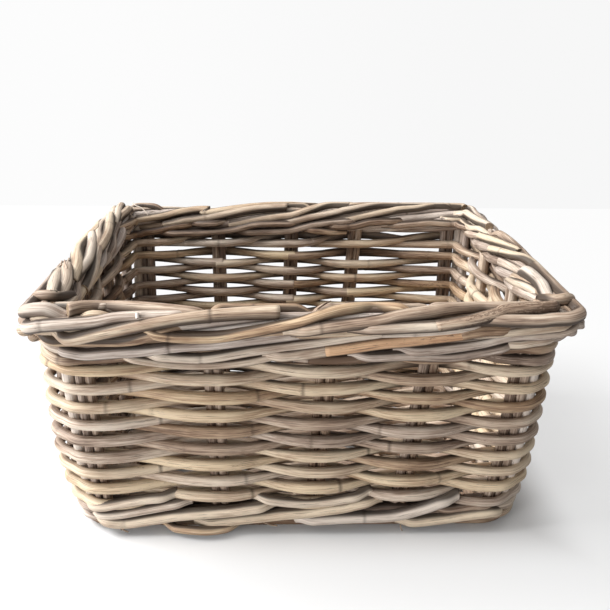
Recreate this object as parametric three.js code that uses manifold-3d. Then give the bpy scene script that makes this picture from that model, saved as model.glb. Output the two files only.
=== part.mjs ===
// An open rectangular basket woven from rattan rods, in millimetres, standing on z = 0 with +Z up.
// The long side lies along X and the front wall faces -Y. The walls are upright stakes in twos, woven
// with single rods that pass in front of one pair and behind the next. A twisted band of three rods
// binds the stakes at the foot and under the rim, and a thick rope of rods closes the top edge.
import * as THREE from "three";
import { mergeVertices } from "three/addons/utils/BufferGeometryUtils.js";
import Module from "manifold-3d";

const wasm = await Module();
wasm.setup();

// Rods
const WEAVER = 8; // diameter of the rods of the rows and of the two twisted bands
const STAKE = 8; // diameter of the uprights
const BORDER_ROD = 8; // diameter of the rods of the rim
const FOOT_ROD = 8.3; // height of the rod that the basket stands on
const FRAME_CANE = 11; // thickness of the cane frame that carries the base
const BASE_STICK = 9; // diameter of the sticks of the base
const CLEARANCE = 0.3; // gap between two rods that lie on each other
const PLAY = 0.4; // extra room where one of the two is bent or stands askew
const PRESS = 0.2; // how far two stakes side by side are pressed together
const BUTT = 1.2; // gap where a rod's two ends meet

// The stake line, a rounded rectangle that grows with height
const FOOT_LENGTH = 372; // along X at the floor
const FOOT_DEPTH = 229; // along Y at the floor
const TOP_LENGTH = 366; // along X at the middle of the rim
const TOP_DEPTH = 265; // along Y at the middle of the rim
const CORNER_RADIUS = 30;
const LEAN = 3; // the hand-made basket's foot sits this far to the left of its rim

// Heights
const ROWS = 17;
const ROW_GAP = 0.15; // between one row and the next
const WALE_ROOM = 1; // between a twisted band and the row beside it
const WALE_SLACK = 0.8; // half the gap between the two outer rods of a twisted band

// The rim
const BORDER_OVERHANG = 5.7; // the rim's middle lies this far outside the stake line
const BORDER_RODS = 8;
const ROPE_GAP = 0.8; // between one rod of the rim and the next
const CORE_ROOM = 1.2; // between these rods and the cane that they are laid round
const ROPE_BEND = 3.5; // radius left at the inner side of the rim's corners
const BORDER_TURNS = 4; // turns that each rod makes on its way round the basket
const BORDER_STEP = 45; // longest straight length in a rod of the rim

// Where the pairs of stakes stand, as shares of half a side, in the order that a row meets them
const PAIRS = {
  front: [-0.37, 0.1, 0.53],
  right: [-0.33, 0.33],
  back: [-0.34, 0.04, 0.48],
  left: [-0.33, 0.33],
};
// In the long walls the pairs fan out with height, and their shares count in these lengths
const FOOT_SPREAD = 329; // at the floor
const TOP_SPREAD = 365; // at the middle of the rim
const SPREAD_LEAN = 7; // at the floor the middle of the fan is this far to the left
const INNER_BOW = 1.3; // inside a pair a row is bent only once, this much further in

// The base
const BASE_STICKS = [-0.92, -0.46, 0, 0.46, 0.92]; // as shares of half the length that is woven
const BASE_GAP = 0.5; // least gap between two rows of the base
const TURN_START = 4; // the base weaver starts to turn back this far before its outermost point
const TURN_FALL = 0.75; // and there it still has this share of its height over the stick
const FRAME_CORNER = 20;
const WEAVE_ROOM = 1.5; // more room for the turns of the base weaver in the frame's round corners
const FRAME_LIFT = 0.4; // the frame hangs this far over the floor
const FOOT_OFFSET = 1.5; // the foot rod's middle lies this far outside the stake line

const WEAVER_SIDES = 5;
const BASE_WEAVER_SIDES = 4;
const STAKE_SIDES = 8;
const FOOT_SIDES = 6;
const ARC_STEPS = 3; // straight lengths in the quarter bend of a level loop

// Sizes that follow from those above
const PAIR_SPACING = STAKE * Math.cos(Math.PI / STAKE_SIDES) - PRESS;
const PAIR_FLAT = PAIR_SPACING / 2 + STAKE * 0.3; // where a rod bends, to both sides of a pair
const CORNER_FLAT = PAIR_SPACING * 2.5; // and to both sides of a corner's middle
const SHORT_FLAT = PAIR_SPACING * 3.8; // outside, a rod bows out further into the short walls
const WEAVE_OFFSET = STAKE / 2 + WEAVER / 2 + CLEARANCE;
const WALE_STEP = WEAVER / 2 + WALE_SLACK; // its outer rods lie this far over and under its middle
const LOWER_WALE = FOOT_ROD + CLEARANCE + WEAVER / 2 + WALE_STEP;
const FIRST_ROW = LOWER_WALE + WALE_STEP + WEAVER + WALE_ROOM;
const ROW_PITCH = WEAVER + ROW_GAP;
const LAST_ROW = FIRST_ROW + (ROWS - 1) * ROW_PITCH;
const UPPER_WALE = LAST_ROW + WEAVER + WALE_ROOM + WALE_STEP;
const STAKE_FOOT = FOOT_ROD + CLEARANCE;
const BORDER_RADIUS = (BORDER_ROD + ROPE_GAP) / 2 / Math.sin(Math.PI / BORDER_RODS);
const BORDER_CORE = 2 * BORDER_RADIUS - BORDER_ROD - 2 * CORE_ROOM; // diameter of the cane in the rim
const BORDER_CORNER = BORDER_RADIUS + BORDER_ROD / 2 + ROPE_BEND; // bend of the middle of the rim
const RIM_FLAT = (BORDER_ROD / 2) * (1 - Math.cos(Math.PI / WEAVER_SIDES)); // under a rod of the rim
const RIM_BOTTOM = UPPER_WALE + WALE_STEP + WEAVER / 2 + CLEARANCE * 2 - RIM_FLAT;
const RIM_HEIGHT = RIM_BOTTOM + BORDER_RADIUS + BORDER_ROD / 2;
const STAKE_TOP = RIM_BOTTOM - CLEARANCE;

const rattan = (name, colour) =>
  new THREE.MeshStandardMaterial({ name, color: colour, roughness: 0.72, metalness: 0 });
const MATERIALS = {
  stakes: rattan("stake_rattan", 0x9a8875),
  rows: rattan("weaver_rattan", 0xb9a68f),
  bands: rattan("band_rattan", 0xb09c86),
  rim: rattan("rim_rattan", 0xb3a292),
  base: rattan("base_rattan", 0xa59079),
};

// Sides in the order that a rod meets them: each has an outward direction and a direction of travel.
const SIDES = [
  { name: "front", out: [0, -1], along: [1, 0] },
  { name: "right", out: [1, 0], along: [0, 1] },
  { name: "back", out: [0, 1], along: [-1, 0] },
  { name: "left", out: [-1, 0], along: [0, -1] },
];
const CORNER_NAMES = ["front_right", "back_right", "back_left", "front_left"];

// Half lengths, middle and corner radius of the stake line at one height, and the fan of the pairs.
function stakeLine(z) {
  const rise = z / RIM_HEIGHT;
  return {
    halfX: THREE.MathUtils.lerp(FOOT_LENGTH, TOP_LENGTH, rise) / 2,
    halfY: THREE.MathUtils.lerp(FOOT_DEPTH, TOP_DEPTH, rise) / 2,
    middleX: -LEAN * (1 - rise),
    spread: THREE.MathUtils.lerp(FOOT_SPREAD, TOP_SPREAD, rise) / 2,
    spreadX: -SPREAD_LEAN * (1 - rise),
    radius: CORNER_RADIUS,
  };
}

// How far a side stands from the middle, and half its length.
function halves(line, side) {
  const acrossX = side.out[0] !== 0;
  return acrossX ? [line.halfX, line.halfY] : [line.halfY, line.halfX];
}

// How far along a side a pair of stakes stands from the side's middle.
function pairAlong(line, side, share) {
  if (side.out[0] !== 0) return share * line.halfY;
  return share * line.spread + side.along[0] * (line.spreadX - line.middleX);
}

// The point at a distance along a side from its middle, moved outwards by offset.
function sidePoint(line, side, along, offset, z) {
  const [reach] = halves(line, side);
  return new THREE.Vector3(
    line.middleX + side.out[0] * (reach + offset) + side.along[0] * along,
    side.out[1] * (reach + offset) + side.along[1] * along,
    z,
  );
}

// The point on the round corner at the end of a side, at an angle from 0 to a right angle.
function arcPoint(line, side, angle, radius, z) {
  const [reach, half] = halves(line, side);
  const start = sidePoint(line, side, half - line.radius, -line.radius, z);
  const out = Math.cos(angle) * radius;
  const on = Math.sin(angle) * radius;
  start.x += side.out[0] * out + side.along[0] * on;
  start.y += side.out[1] * out + side.along[1] * on;
  return start;
}

// The point at a distance along the line from the middle of the corner at the end of a side.
function cornerPoint(line, index, distance, offset, z) {
  const halfArc = (line.radius * Math.PI) / 4;
  if (Math.abs(distance) <= halfArc) {
    const angle = Math.PI / 4 + distance / line.radius;
    return arcPoint(line, SIDES[index], angle, line.radius + offset, z);
  }
  const before = distance < 0;
  const side = before ? SIDES[index] : SIDES[(index + 1) % SIDES.length];
  const [, half] = halves(line, side);
  const along = half - line.radius - (Math.abs(distance) - halfArc);
  return sidePoint(line, side, before ? along : -along, offset, z);
}

// A rod's course: its sections stand at the given points, each with one axis level.
class RodPath extends THREE.Curve {
  constructor(points) {
    super();
    this.points = points;
  }

  getSpacedPoints() {
    return this.points;
  }

  computeFrenetFrames() {
    const last = this.points.length - 1;
    const up = new THREE.Vector3(0, 0, 1);
    const frames = { tangents: [], normals: [], binormals: [] };
    this.points.forEach((point, i) => {
      const before = this.points[Math.max(i - 1, 0)];
      const after = this.points[Math.min(i + 1, last)];
      const inward = new THREE.Vector3().subVectors(point, before).normalize();
      const outward = new THREE.Vector3().subVectors(after, point).normalize();
      const tangent = inward.add(outward).normalize();
      const normal = new THREE.Vector3().crossVectors(up, tangent).normalize();
      frames.tangents.push(tangent);
      frames.normals.push(normal);
      frames.binormals.push(new THREE.Vector3().crossVectors(tangent, normal));
    });
    return frames;
  }
}

// A regular section of one diameter across its corners, with a flat side at the bottom.
function section(diameter, sides) {
  const corners = [];
  for (let i = 0; i < sides; i++) {
    const angle = Math.PI / 2 + ((i + 0.5) * 2 * Math.PI) / sides;
    corners.push(new THREE.Vector2(Math.cos(angle), Math.sin(angle)).multiplyScalar(diameter / 2));
  }
  return new THREE.Shape(corners);
}

function rod(points, diameter, sides) {
  return new THREE.ExtrudeGeometry(section(diameter, sides), {
    steps: points.length - 1,
    extrudePath: new RodPath(points),
  });
}

function solid(geometry) {
  const bare = geometry.clone();
  bare.deleteAttribute("normal");
  bare.deleteAttribute("uv");
  const merged = mergeVertices(bare, 1e-3);
  return new wasm.Manifold(
    new wasm.Mesh({
      numProp: 3,
      vertProperties: merged.getAttribute("position").array,
      triVerts: new Uint32Array(merged.index.array),
    }),
  );
}

// One body from rods that are pressed together along their sides.
function joined(geometries) {
  const body = geometries.map(solid).reduce((whole, next) => whole.add(next));
  const mesh = body.getMesh();
  return new THREE.BufferGeometry()
    .setAttribute("position", new THREE.BufferAttribute(mesh.vertProperties, 3))
    .setIndex(new THREE.BufferAttribute(mesh.triVerts, 1));
}

const basket = new THREE.Group();
basket.name = "rattan_basket";

function add(name, geometry, material) {
  const mesh = new THREE.Mesh(geometry, material);
  mesh.name = name;
  basket.add(mesh);
}

// An upright from foot to top, cut level at both ends, leaning out with the wall.
// place gives its middle on the stake line at one height.
function upright(place) {
  const foot = place(stakeLine(STAKE_FOOT), STAKE_FOOT);
  const top = place(stakeLine(STAKE_TOP), STAKE_TOP);
  const height = STAKE_TOP - STAKE_FOOT;
  const lean = new THREE.Matrix4().set(
    1, 0, (top.x - foot.x) / height, foot.x,
    0, 1, (top.y - foot.y) / height, foot.y,
    0, 0, 1, foot.z,
    0, 0, 0, 1,
  );
  return new THREE.ExtrudeGeometry(section(STAKE, STAKE_SIDES), {
    depth: height,
    bevelEnabled: false,
  }).applyMatrix4(lean);
}

function addPairs() {
  for (const side of SIDES) {
    PAIRS[side.name].forEach((share, i) => {
      const pair = [-0.5, 0.5].map((half) =>
        upright((line, z) =>
          sidePoint(line, side, pairAlong(line, side, share) + half * PAIR_SPACING, 0, z),
        ),
      );
      add(`stake_pair_${side.name}_${i + 1}`, joined(pair), MATERIALS.stakes);
    });
  }
}

// At a corner three rods stand on one side, the corner post last, and two on the other.
function addCornerStakes() {
  const gap = STAKE + CLEARANCE + PLAY;
  const groups = {
    post: [-2 * PAIR_SPACING, -PAIR_SPACING, 0],
    flank: [gap, gap + PAIR_SPACING],
  };
  CORNER_NAMES.forEach((corner, index) => {
    for (const [group, distances] of Object.entries(groups)) {
      const rods = distances.map((distance) =>
        upright((line, z) => cornerPoint(line, index, distance, 0, z)),
      );
      add(`corner_${group}_${corner}`, joined(rods), MATERIALS.stakes);
    }
  });
}

// Every place where a rod passes stakes, in order from the front left corner: a corner, the pairs
// of a side, the next corner, and so on.
const STATIONS = SIDES.flatMap((side, index) => [
  { corner: (index + SIDES.length - 1) % SIDES.length },
  ...PAIRS[side.name].map((share) => ({ side, share })),
]);

// A rod's points past one station, at one offset from the stake line. flats are the places, on
// both sides of a pair's middle, where the rod bends.
function passing(station, offset, z, flats = [-PAIR_FLAT, PAIR_FLAT]) {
  const line = stakeLine(z);
  if (station.corner === undefined) {
    const middle = pairAlong(line, station.side, station.share);
    return flats.map((d) => sidePoint(line, station.side, middle + d, offset, z));
  }
  const outside = offset > 0;
  const shortBefore = SIDES[station.corner].out[0] !== 0;
  const [before, after] = [shortBefore, !shortBefore].map((short) =>
    outside && short ? SHORT_FLAT : CORNER_FLAT,
  );
  const ends = [-before, after].map((d) => cornerPoint(line, station.corner, d, offset, z));
  // Outside, the bend is drawn round the stakes, so its corners lie a little further out.
  const eighths = outside ? [1, 3] : [2];
  const radius = (line.radius + offset) / (outside ? Math.cos(Math.PI / 8) : 1);
  const bend = eighths.map((eighth) =>
    arcPoint(line, SIDES[station.corner], (eighth * Math.PI) / 8, radius, z),
  );
  return [ends[0], ...bend, ends[1]];
}

// Splits a straight pass in the middle, so that a rod starts and ends there with its ends apart.
function seam(points) {
  const [before, after] = points;
  const middle = before.clone().lerp(after, 0.5);
  const half = after.clone().sub(before).setLength(BUTT / 2);
  return { start: [middle.clone().add(half), after], end: [before, middle.clone().sub(half)] };
}

// Goes once round the basket from the middle of one station back to it. pass gives the points at a
// station, and between gives the points, if any, on the way to the next.
function round(first, pass, between = () => []) {
  const count = STATIONS.length;
  const points = [...seam(pass(first)).start];
  for (let i = first; i < first + count; i++) {
    points.push(...between(i));
    const next = pass(i + 1);
    points.push(...(i + 1 === first + count ? seam(next).end : next));
  }
  return points;
}

const station = (i) => STATIONS[i % STATIONS.length];
const isCorner = (i) => station(i).corner !== undefined;

// Rows of plain weave: every second station is passed inside, and each row does what the row under
// it doesn't. A row's ends meet behind a pair of stakes, at another pair in each row.
function addRows() {
  for (let row = 1; row <= ROWS; row++) {
    const z = FIRST_ROW + (row - 1) * ROW_PITCH;
    const outside = (i) => (i + row) % 2 === 1;
    const hidden = STATIONS.map((_, i) => i).filter((i) => !outside(i) && !isCorner(i));
    const first = hidden[(row * 2) % hidden.length];
    const pass = (i) => {
      if (outside(i)) return passing(station(i), WEAVE_OFFSET, z);
      if (isCorner(i)) return passing(station(i), -WEAVE_OFFSET, z);
      const flats = i % STATIONS.length === first ? undefined : [0];
      return passing(station(i), -WEAVE_OFFSET - INNER_BOW, z, flats);
    };
    const name = `weaver_row_${String(row).padStart(2, "0")}`;
    add(name, rod(round(first, pass), WEAVER, WEAVER_SIDES), MATERIALS.rows);
  }
}

// The point on the stake line half way between two stations.
function crossing(from, to, z) {
  const leave = passing(from, 0, z).at(-1);
  const reach = passing(to, 0, z)[0];
  return leave.lerp(reach, 0.5);
}

// A band of three rods twisted round the stakes: each passes outside two stations, rising from
// the lower to the upper place, then inside one, where it comes down again.
function addWale(name, middle, first) {
  for (let turn = 0; turn < 3; turn++) {
    const phase = (i) => (i + turn) % 3;
    const pass = (i) => {
      const offset = phase(i) === 0 ? -WEAVE_OFFSET : WEAVE_OFFSET;
      const lift = [0, -WALE_STEP, WALE_STEP][phase(i)];
      return passing(station(i), offset, middle + lift);
    };
    const between = (i) => {
      if (phase(i) === 1) return [];
      const lift = phase(i) === 2 ? WALE_STEP : -WALE_STEP;
      return [crossing(station(i), station(i + 1), middle + lift)];
    };
    const body = rod(round(first, pass, between), WEAVER, WEAVER_SIDES);
    add(`${name}_rod_${turn + 1}`, body, MATERIALS.bands);
  }
}

// The points of a level loop round the basket, at one offset from the stake line. Its ends meet
// in the middle of the back.
function loopPoints(offset, radius, z) {
  const line = { ...stakeLine(z), radius };
  line.halfX += offset;
  line.halfY += offset;
  const points = [];
  [...SIDES.slice(2), ...SIDES.slice(0, 2)].forEach((side) => {
    for (let i = 0; i <= ARC_STEPS; i++) {
      points.push(arcPoint(line, side, (i * Math.PI) / 2 / ARC_STEPS, radius, z));
    }
  });
  const [first] = points;
  const last = points.at(-1);
  const middle = last.clone().lerp(first, 0.5);
  const half = first.clone().sub(last).setLength(BUTT / 2);
  return [middle.clone().add(half), ...points, middle.clone().sub(half)];
}

// The rim: rods laid in a right-handed rope round a core, each once round the basket.
function addBorder() {
  const line = { ...stakeLine(RIM_HEIGHT), radius: BORDER_CORNER };
  line.halfX += BORDER_OVERHANG;
  line.halfY += BORDER_OVERHANG;
  const stops = [];
  let travelled = 0;
  const stop = (middle, out) => {
    if (stops.length) travelled += middle.distanceTo(stops.at(-1).middle);
    stops.push({ middle, out, travelled });
  };
  SIDES.forEach((side) => {
    const [, half] = halves(line, side);
    const straight = 2 * (half - BORDER_CORNER);
    const pieces = Math.ceil(straight / BORDER_STEP);
    for (let i = 0; i < pieces; i++) {
      const along = -half + BORDER_CORNER + (straight * i) / pieces;
      stop(sidePoint(line, side, along, 0, RIM_HEIGHT), new THREE.Vector3(...side.out, 0));
    }
    for (let i = 0; i < ARC_STEPS; i++) {
      const angle = (i * Math.PI) / 2 / ARC_STEPS;
      const centre = arcPoint(line, side, angle, 0, RIM_HEIGHT);
      const middle = arcPoint(line, side, angle, BORDER_CORNER, RIM_HEIGHT);
      stop(middle, middle.clone().sub(centre).normalize());
    }
  });
  const length = travelled + stops[0].middle.distanceTo(stops.at(-1).middle);
  const place = (index, turn) => {
    const at = stops[index % stops.length];
    const share = at.travelled / length + Math.floor(index / stops.length);
    const angle = 2 * Math.PI * (BORDER_TURNS * share + turn / BORDER_RODS);
    return at.middle
      .clone()
      .addScaledVector(at.out, BORDER_RADIUS * Math.cos(angle))
      .add(new THREE.Vector3(0, 0, BORDER_RADIUS * Math.sin(angle)));
  };
  for (let turn = 0; turn < BORDER_RODS; turn++) {
    // The next rod of the rope starts further round, at the first step of a straight length.
    const first = Math.round((turn * stops.length) / BORDER_RODS);
    const points = [];
    for (let i = first; i <= first + stops.length; i++) points.push(place(i, turn));
    const start = points[1].clone().sub(points[0]).setLength(BUTT / 2);
    const end = points.at(-2).clone().sub(points.at(-1)).setLength(BUTT / 2);
    points[0].add(start);
    points.at(-1).add(end);
    add(`border_rod_${turn + 1}`, rod(points, BORDER_ROD, WEAVER_SIDES), MATERIALS.rim);
  }
  const core = loopPoints(BORDER_OVERHANG, BORDER_CORNER, RIM_HEIGHT);
  add("border_core", rod(core, BORDER_CORE, FOOT_SIDES), MATERIALS.rim);
}

function addFoot() {
  const across = FOOT_ROD / Math.cos(Math.PI / FOOT_SIDES);
  const points = loopPoints(FOOT_OFFSET, CORNER_RADIUS + FOOT_OFFSET, FOOT_ROD / 2);
  add("foot_rod", rod(points, across, FOOT_SIDES), MATERIALS.base);
}

// The base: a cane frame inside the foot of the stakes, sticks across it, and one long rod woven
// to and fro over and under them.
function addBase() {
  const frameOffset = -(STAKE / 2 + CLEARANCE + FRAME_CANE / 2);
  const frameAcross = FRAME_CANE / Math.cos(Math.PI / STAKE_SIDES);
  const frameZ = FRAME_LIFT + FRAME_CANE / 2;
  const frame = loopPoints(frameOffset, FRAME_CORNER, frameZ);
  add("base_frame", rod(frame, frameAcross, STAKE_SIDES), MATERIALS.base);

  const stickZ = FRAME_LIFT + FRAME_CANE + CLEARANCE + BASE_STICK / 2;
  const line = stakeLine(stickZ);
  const waleRoom = WEAVE_OFFSET + WEAVER / 2 + 2 * CLEARANCE;
  const stickReach = line.halfY - waleRoom;
  const weaveInset = frameOffset - FRAME_CANE / 2 - WEAVER / 2 - CLEARANCE * 2 - WEAVE_ROOM;
  const weaveX = line.halfX + weaveInset;
  const weaveY = line.halfY + weaveInset;
  const stickX = BASE_STICKS.map((share) => line.middleX + share * weaveX);
  stickX.forEach((x, i) => {
    const points = [-stickReach, stickReach].map((y) => new THREE.Vector3(x, y, stickZ));
    add(`base_stick_${i + 1}`, rod(points, BASE_STICK, STAKE_SIDES), MATERIALS.base);
  });

  // The weaver's section and the sticks lie on each other with flat sides.
  const stickFlat = (BASE_STICK / 2) * Math.cos(Math.PI / STAKE_SIDES);
  const weaverFlat = (WEAVER / 2) * Math.cos(Math.PI / BASE_WEAVER_SIDES);
  const lift = stickFlat + weaverFlat + CLEARANCE + PLAY;
  const gaps = Math.floor((2 * weaveY) / (WEAVER + BASE_GAP));
  const pitch = (2 * weaveY) / gaps;
  const points = [];
  for (let row = 0; row <= gaps; row++) {
    const y = row * pitch - weaveY;
    const way = row % 2 ? -1 : 1;
    const sticks = row % 2 ? [...stickX].reverse() : stickX;
    sticks.forEach((x, i) => {
      const over = (i + (row % 2)) % 2 ? -1 : 1;
      points.push(new THREE.Vector3(x, y, stickZ + over * lift));
    });
    if (row === gaps) break;
    // The turn round the outermost stick, half of it in this row and half in the next.
    const over = points.at(-1).z > stickZ ? 1 : -1;
    const edge = line.middleX + way * weaveX;
    const start = edge - way * TURN_START;
    const fall = over * lift * TURN_FALL;
    points.push(new THREE.Vector3(start, y, stickZ + fall));
    points.push(new THREE.Vector3(edge, y + pitch / 2, stickZ));
    points.push(new THREE.Vector3(start, y + pitch, stickZ - fall));
  }
  add("base_weaver", rod(points, WEAVER, BASE_WEAVER_SIDES), MATERIALS.base);
}

addFoot();
addBase();
addPairs();
addCornerStakes();
addWale("lower_wale", LOWER_WALE, 9);
addRows();
addWale("upper_wale", UPPER_WALE, 12);
addBorder();

export default basket;
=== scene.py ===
# %% [markdown]
# # A rattan basket
#
# The real basket is made of one thing only: long round rods of rattan, soaked and bent. Uprights
# stand in twos, single rods are woven round them, a band of three twisted rods binds them at the
# foot and under the rim, and a rope of rods closes the top edge. So this lesson needs one good rod:
# a round section carried along a path. Everything else is the question of which way each rod goes.
#
# The measured model of the basket is loaded first. It fixes the size and place of every piece.

# %% The measured model
from functools import lru_cache

import bpy
import numpy as np
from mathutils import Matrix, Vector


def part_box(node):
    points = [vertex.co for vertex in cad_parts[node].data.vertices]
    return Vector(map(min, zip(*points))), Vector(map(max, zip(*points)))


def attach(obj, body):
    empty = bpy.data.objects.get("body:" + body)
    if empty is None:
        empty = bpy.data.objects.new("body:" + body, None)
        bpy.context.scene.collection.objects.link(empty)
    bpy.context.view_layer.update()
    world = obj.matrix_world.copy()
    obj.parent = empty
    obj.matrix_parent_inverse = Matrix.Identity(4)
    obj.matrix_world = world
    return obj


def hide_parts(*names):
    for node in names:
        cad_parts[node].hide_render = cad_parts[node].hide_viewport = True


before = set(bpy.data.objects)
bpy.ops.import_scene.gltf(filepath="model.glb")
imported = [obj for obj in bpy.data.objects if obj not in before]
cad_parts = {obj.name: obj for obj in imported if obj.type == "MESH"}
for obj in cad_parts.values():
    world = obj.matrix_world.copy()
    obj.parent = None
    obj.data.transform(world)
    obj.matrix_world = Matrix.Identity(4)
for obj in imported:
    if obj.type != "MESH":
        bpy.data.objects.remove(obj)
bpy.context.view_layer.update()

MM = 0.001
BODY = "root"


def box_in_mm(name):
    """The lowest and the highest corner of a measured node's box, as two rows."""
    return np.array(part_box(name)) / MM


print("rows are", round(float(np.diff(box_in_mm("weaver_row_01")[:, 2])[0]), 1), "mm thick")

# %% [markdown]
# The camera comes next, because every later choice is judged through it. It stands in front of the
# basket, a little above it, and looks down. The picture is square, so the length of the lens
# follows from the width of the view alone. Blender's camera looks along its own -Z.

# %% The camera
CAMERA_PLACE = np.array([-13, -570, 402]) * MM
CAMERA_DOWN = np.radians(23.4)
CAMERA_RIGHT = np.radians(1.7)
CAMERA_ROLL = np.radians(0.8)
LENS_PIXELS = 670
PICTURE_PIXELS = 610
SENSOR_WIDTH = 36

forward = np.array(
    [
        np.sin(CAMERA_RIGHT) * np.cos(CAMERA_DOWN),
        np.cos(CAMERA_RIGHT) * np.cos(CAMERA_DOWN),
        -np.sin(CAMERA_DOWN),
    ]
)
level = np.array([np.cos(CAMERA_RIGHT), -np.sin(CAMERA_RIGHT), 0])
upward = np.cross(level, forward)
picture_x = np.cos(CAMERA_ROLL) * level + np.sin(CAMERA_ROLL) * upward
picture_y = -np.sin(CAMERA_ROLL) * level + np.cos(CAMERA_ROLL) * upward

camera_data = bpy.data.cameras.new("camera")
camera_data.sensor_fit = "HORIZONTAL"
camera_data.sensor_width = SENSOR_WIDTH
camera_data.lens = SENSOR_WIDTH * LENS_PIXELS / PICTURE_PIXELS
camera = bpy.data.objects.new("camera", camera_data)
matrix = np.identity(4)
matrix[:3, 0] = picture_x
matrix[:3, 1] = picture_y
matrix[:3, 2] = -forward
matrix[:3, 3] = CAMERA_PLACE
camera.matrix_world = matrix.T.tolist()
bpy.context.scene.collection.objects.link(camera)
bpy.context.scene.camera = camera
bpy.context.scene.view_settings.view_transform = "Standard"
print("lens in millimetres:", round(camera_data.lens, 2))

# %% [markdown]
# The basket stands in a white room with a large window on its left. One wide area lamp stands for
# the window, and one above for the ceiling. A third, low in front, stands for the light that the
# near wall sends back: it reaches the front of the basket and leaves the inside dark. A plain world
# gives the rest. Blender's lamps shine along their own -Z.

# %% Light
LAMPS = {
    "window": {"place": (-2.4, 0.12, 2.2), "size": 1.7, "energy": 150},
    "near_wall": {"place": (-1.6, -1.2, 0.24), "size": 0.6, "energy": 25},
    "ceiling": {"place": (-0.45, -0.3, 1.7), "size": 1.2, "energy": 9},
}
LAMP_TARGET = (0, 0, 0.1)
ROOM_LIGHT = 0.33


def lamp(name, place, size, energy):
    """A square lamp whose own Z points away from the basket."""
    away = np.array(place, float) - LAMP_TARGET
    away /= np.linalg.norm(away)
    side = np.cross((0, 0, 1), away)
    side /= np.linalg.norm(side)
    turned = np.identity(4)
    turned[:3, :3] = np.stack([side, np.cross(away, side), away], -1)
    turned[:3, 3] = place
    light = bpy.data.lights.new(name, "AREA")
    light.shape = "SQUARE"
    light.size = size
    light.energy = energy
    made = bpy.data.objects.new(name, light)
    made.matrix_world = turned.T.tolist()
    bpy.context.scene.collection.objects.link(made)


for lamp_name, settings in LAMPS.items():
    lamp(lamp_name, **settings)
print("lamps:", ", ".join(LAMPS))

# %% [markdown]
# Materials are written as sums. A small class wraps the output of a node, and the usual operators
# add a Math node each, so `1 - mask` is one node and reads as what it is. Colours go through Mix
# nodes, because a Math node would turn them grey.


# %% Shader maths
class Shade:
    """One output of a node, with operators that add Math nodes."""

    def __init__(self, tree, socket):
        self.tree = tree
        self.socket = socket

    def maths(self, operation, *others):
        return self.tree.node("ShaderNodeMath", {"operation": operation}, [self, *others])

    def __add__(self, other):
        return self.maths("ADD", other)

    __radd__ = __add__

    def __sub__(self, other):
        return self.maths("SUBTRACT", other)

    def __rsub__(self, other):
        return self.tree.node("ShaderNodeMath", {"operation": "SUBTRACT"}, [other, self])

    def __mul__(self, other):
        return self.maths("MULTIPLY", other)

    __rmul__ = __mul__

    def above(self, low, high):
        """0 under low, 1 over high, and a smooth step between."""
        return self.tree.node(
            "ShaderNodeMapRange",
            {"interpolation_type": "SMOOTHSTEP"},
            [self, low, high, 0.0, 1.0],
        )


class Tree:
    """The nodes of one material, with one method that adds any node."""

    def __init__(self, name):
        self.material = bpy.data.materials.new(name)
        self.material.use_nodes = True
        self.nodes = self.material.node_tree.nodes
        self.links = self.material.node_tree.links
        self.nodes.clear()

    def node(self, kind, settings=None, inputs=None, output=0):
        """Adds a node, sets it, fills its inputs in order or by name, and wraps one output."""
        made = self.nodes.new(kind)
        for key, value in (settings or {}).items():
            setattr(made, key, value)
        named = inputs if isinstance(inputs, dict) else dict(enumerate(inputs or []))
        for key, value in named.items():
            if isinstance(value, Shade):
                self.links.new(value.socket, made.inputs[key])
            elif value is not None:
                made.inputs[key].default_value = value
        return Shade(self, made.outputs[output]) if made.outputs else None

    def mix(self, factor, first, second):
        """A colour between two colours."""
        made = self.nodes.new("ShaderNodeMix")
        made.data_type = "RGBA"
        sockets = [made.inputs[place] for place in (0, 6, 7)]
        for socket, value in zip(sockets, (factor, first, second)):
            if isinstance(value, Shade):
                self.links.new(value.socket, socket)
            else:
                socket.default_value = value
        return Shade(self, made.outputs[2])

    def attribute(self, name):
        """The three numbers that the mesh stores under a name."""
        return self.node("ShaderNodeAttribute", {"attribute_name": name}, None, "Vector")

    def parts(self, vector):
        """The three numbers of a vector."""
        made = self.nodes.new("ShaderNodeSeparateXYZ")
        self.links.new(vector.socket, made.inputs[0])
        return [Shade(self, out) for out in made.outputs]

    def noise(self, vector, waves, detail, roughness):
        """Noise in rod space. A metre holds so many waves along the rod and across it."""
        along, across = waves
        scaled = self.node(
            "ShaderNodeVectorMath", {"operation": "MULTIPLY"}, [vector, (along, across, across)]
        )
        inputs = {"Vector": scaled, "Scale": 1.0, "Detail": detail, "Roughness": roughness}
        return self.node("ShaderNodeTexNoise", None, inputs)

    def finish(self, surface):
        """Joins a shader to the material's output and returns the material."""
        self.node("ShaderNodeOutputMaterial", None, {"Surface": surface})
        return self.material


def colour(red, green, blue):
    """A colour as a painter reads it off a screen, from 0 to 255, turned to linear light."""
    share = np.array([red, green, blue]) / 255
    linear = np.where(share <= 0.04045, share / 12.92, ((share + 0.055) / 1.055) ** 2.4)
    return (*linear.tolist(), 1.0)
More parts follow.
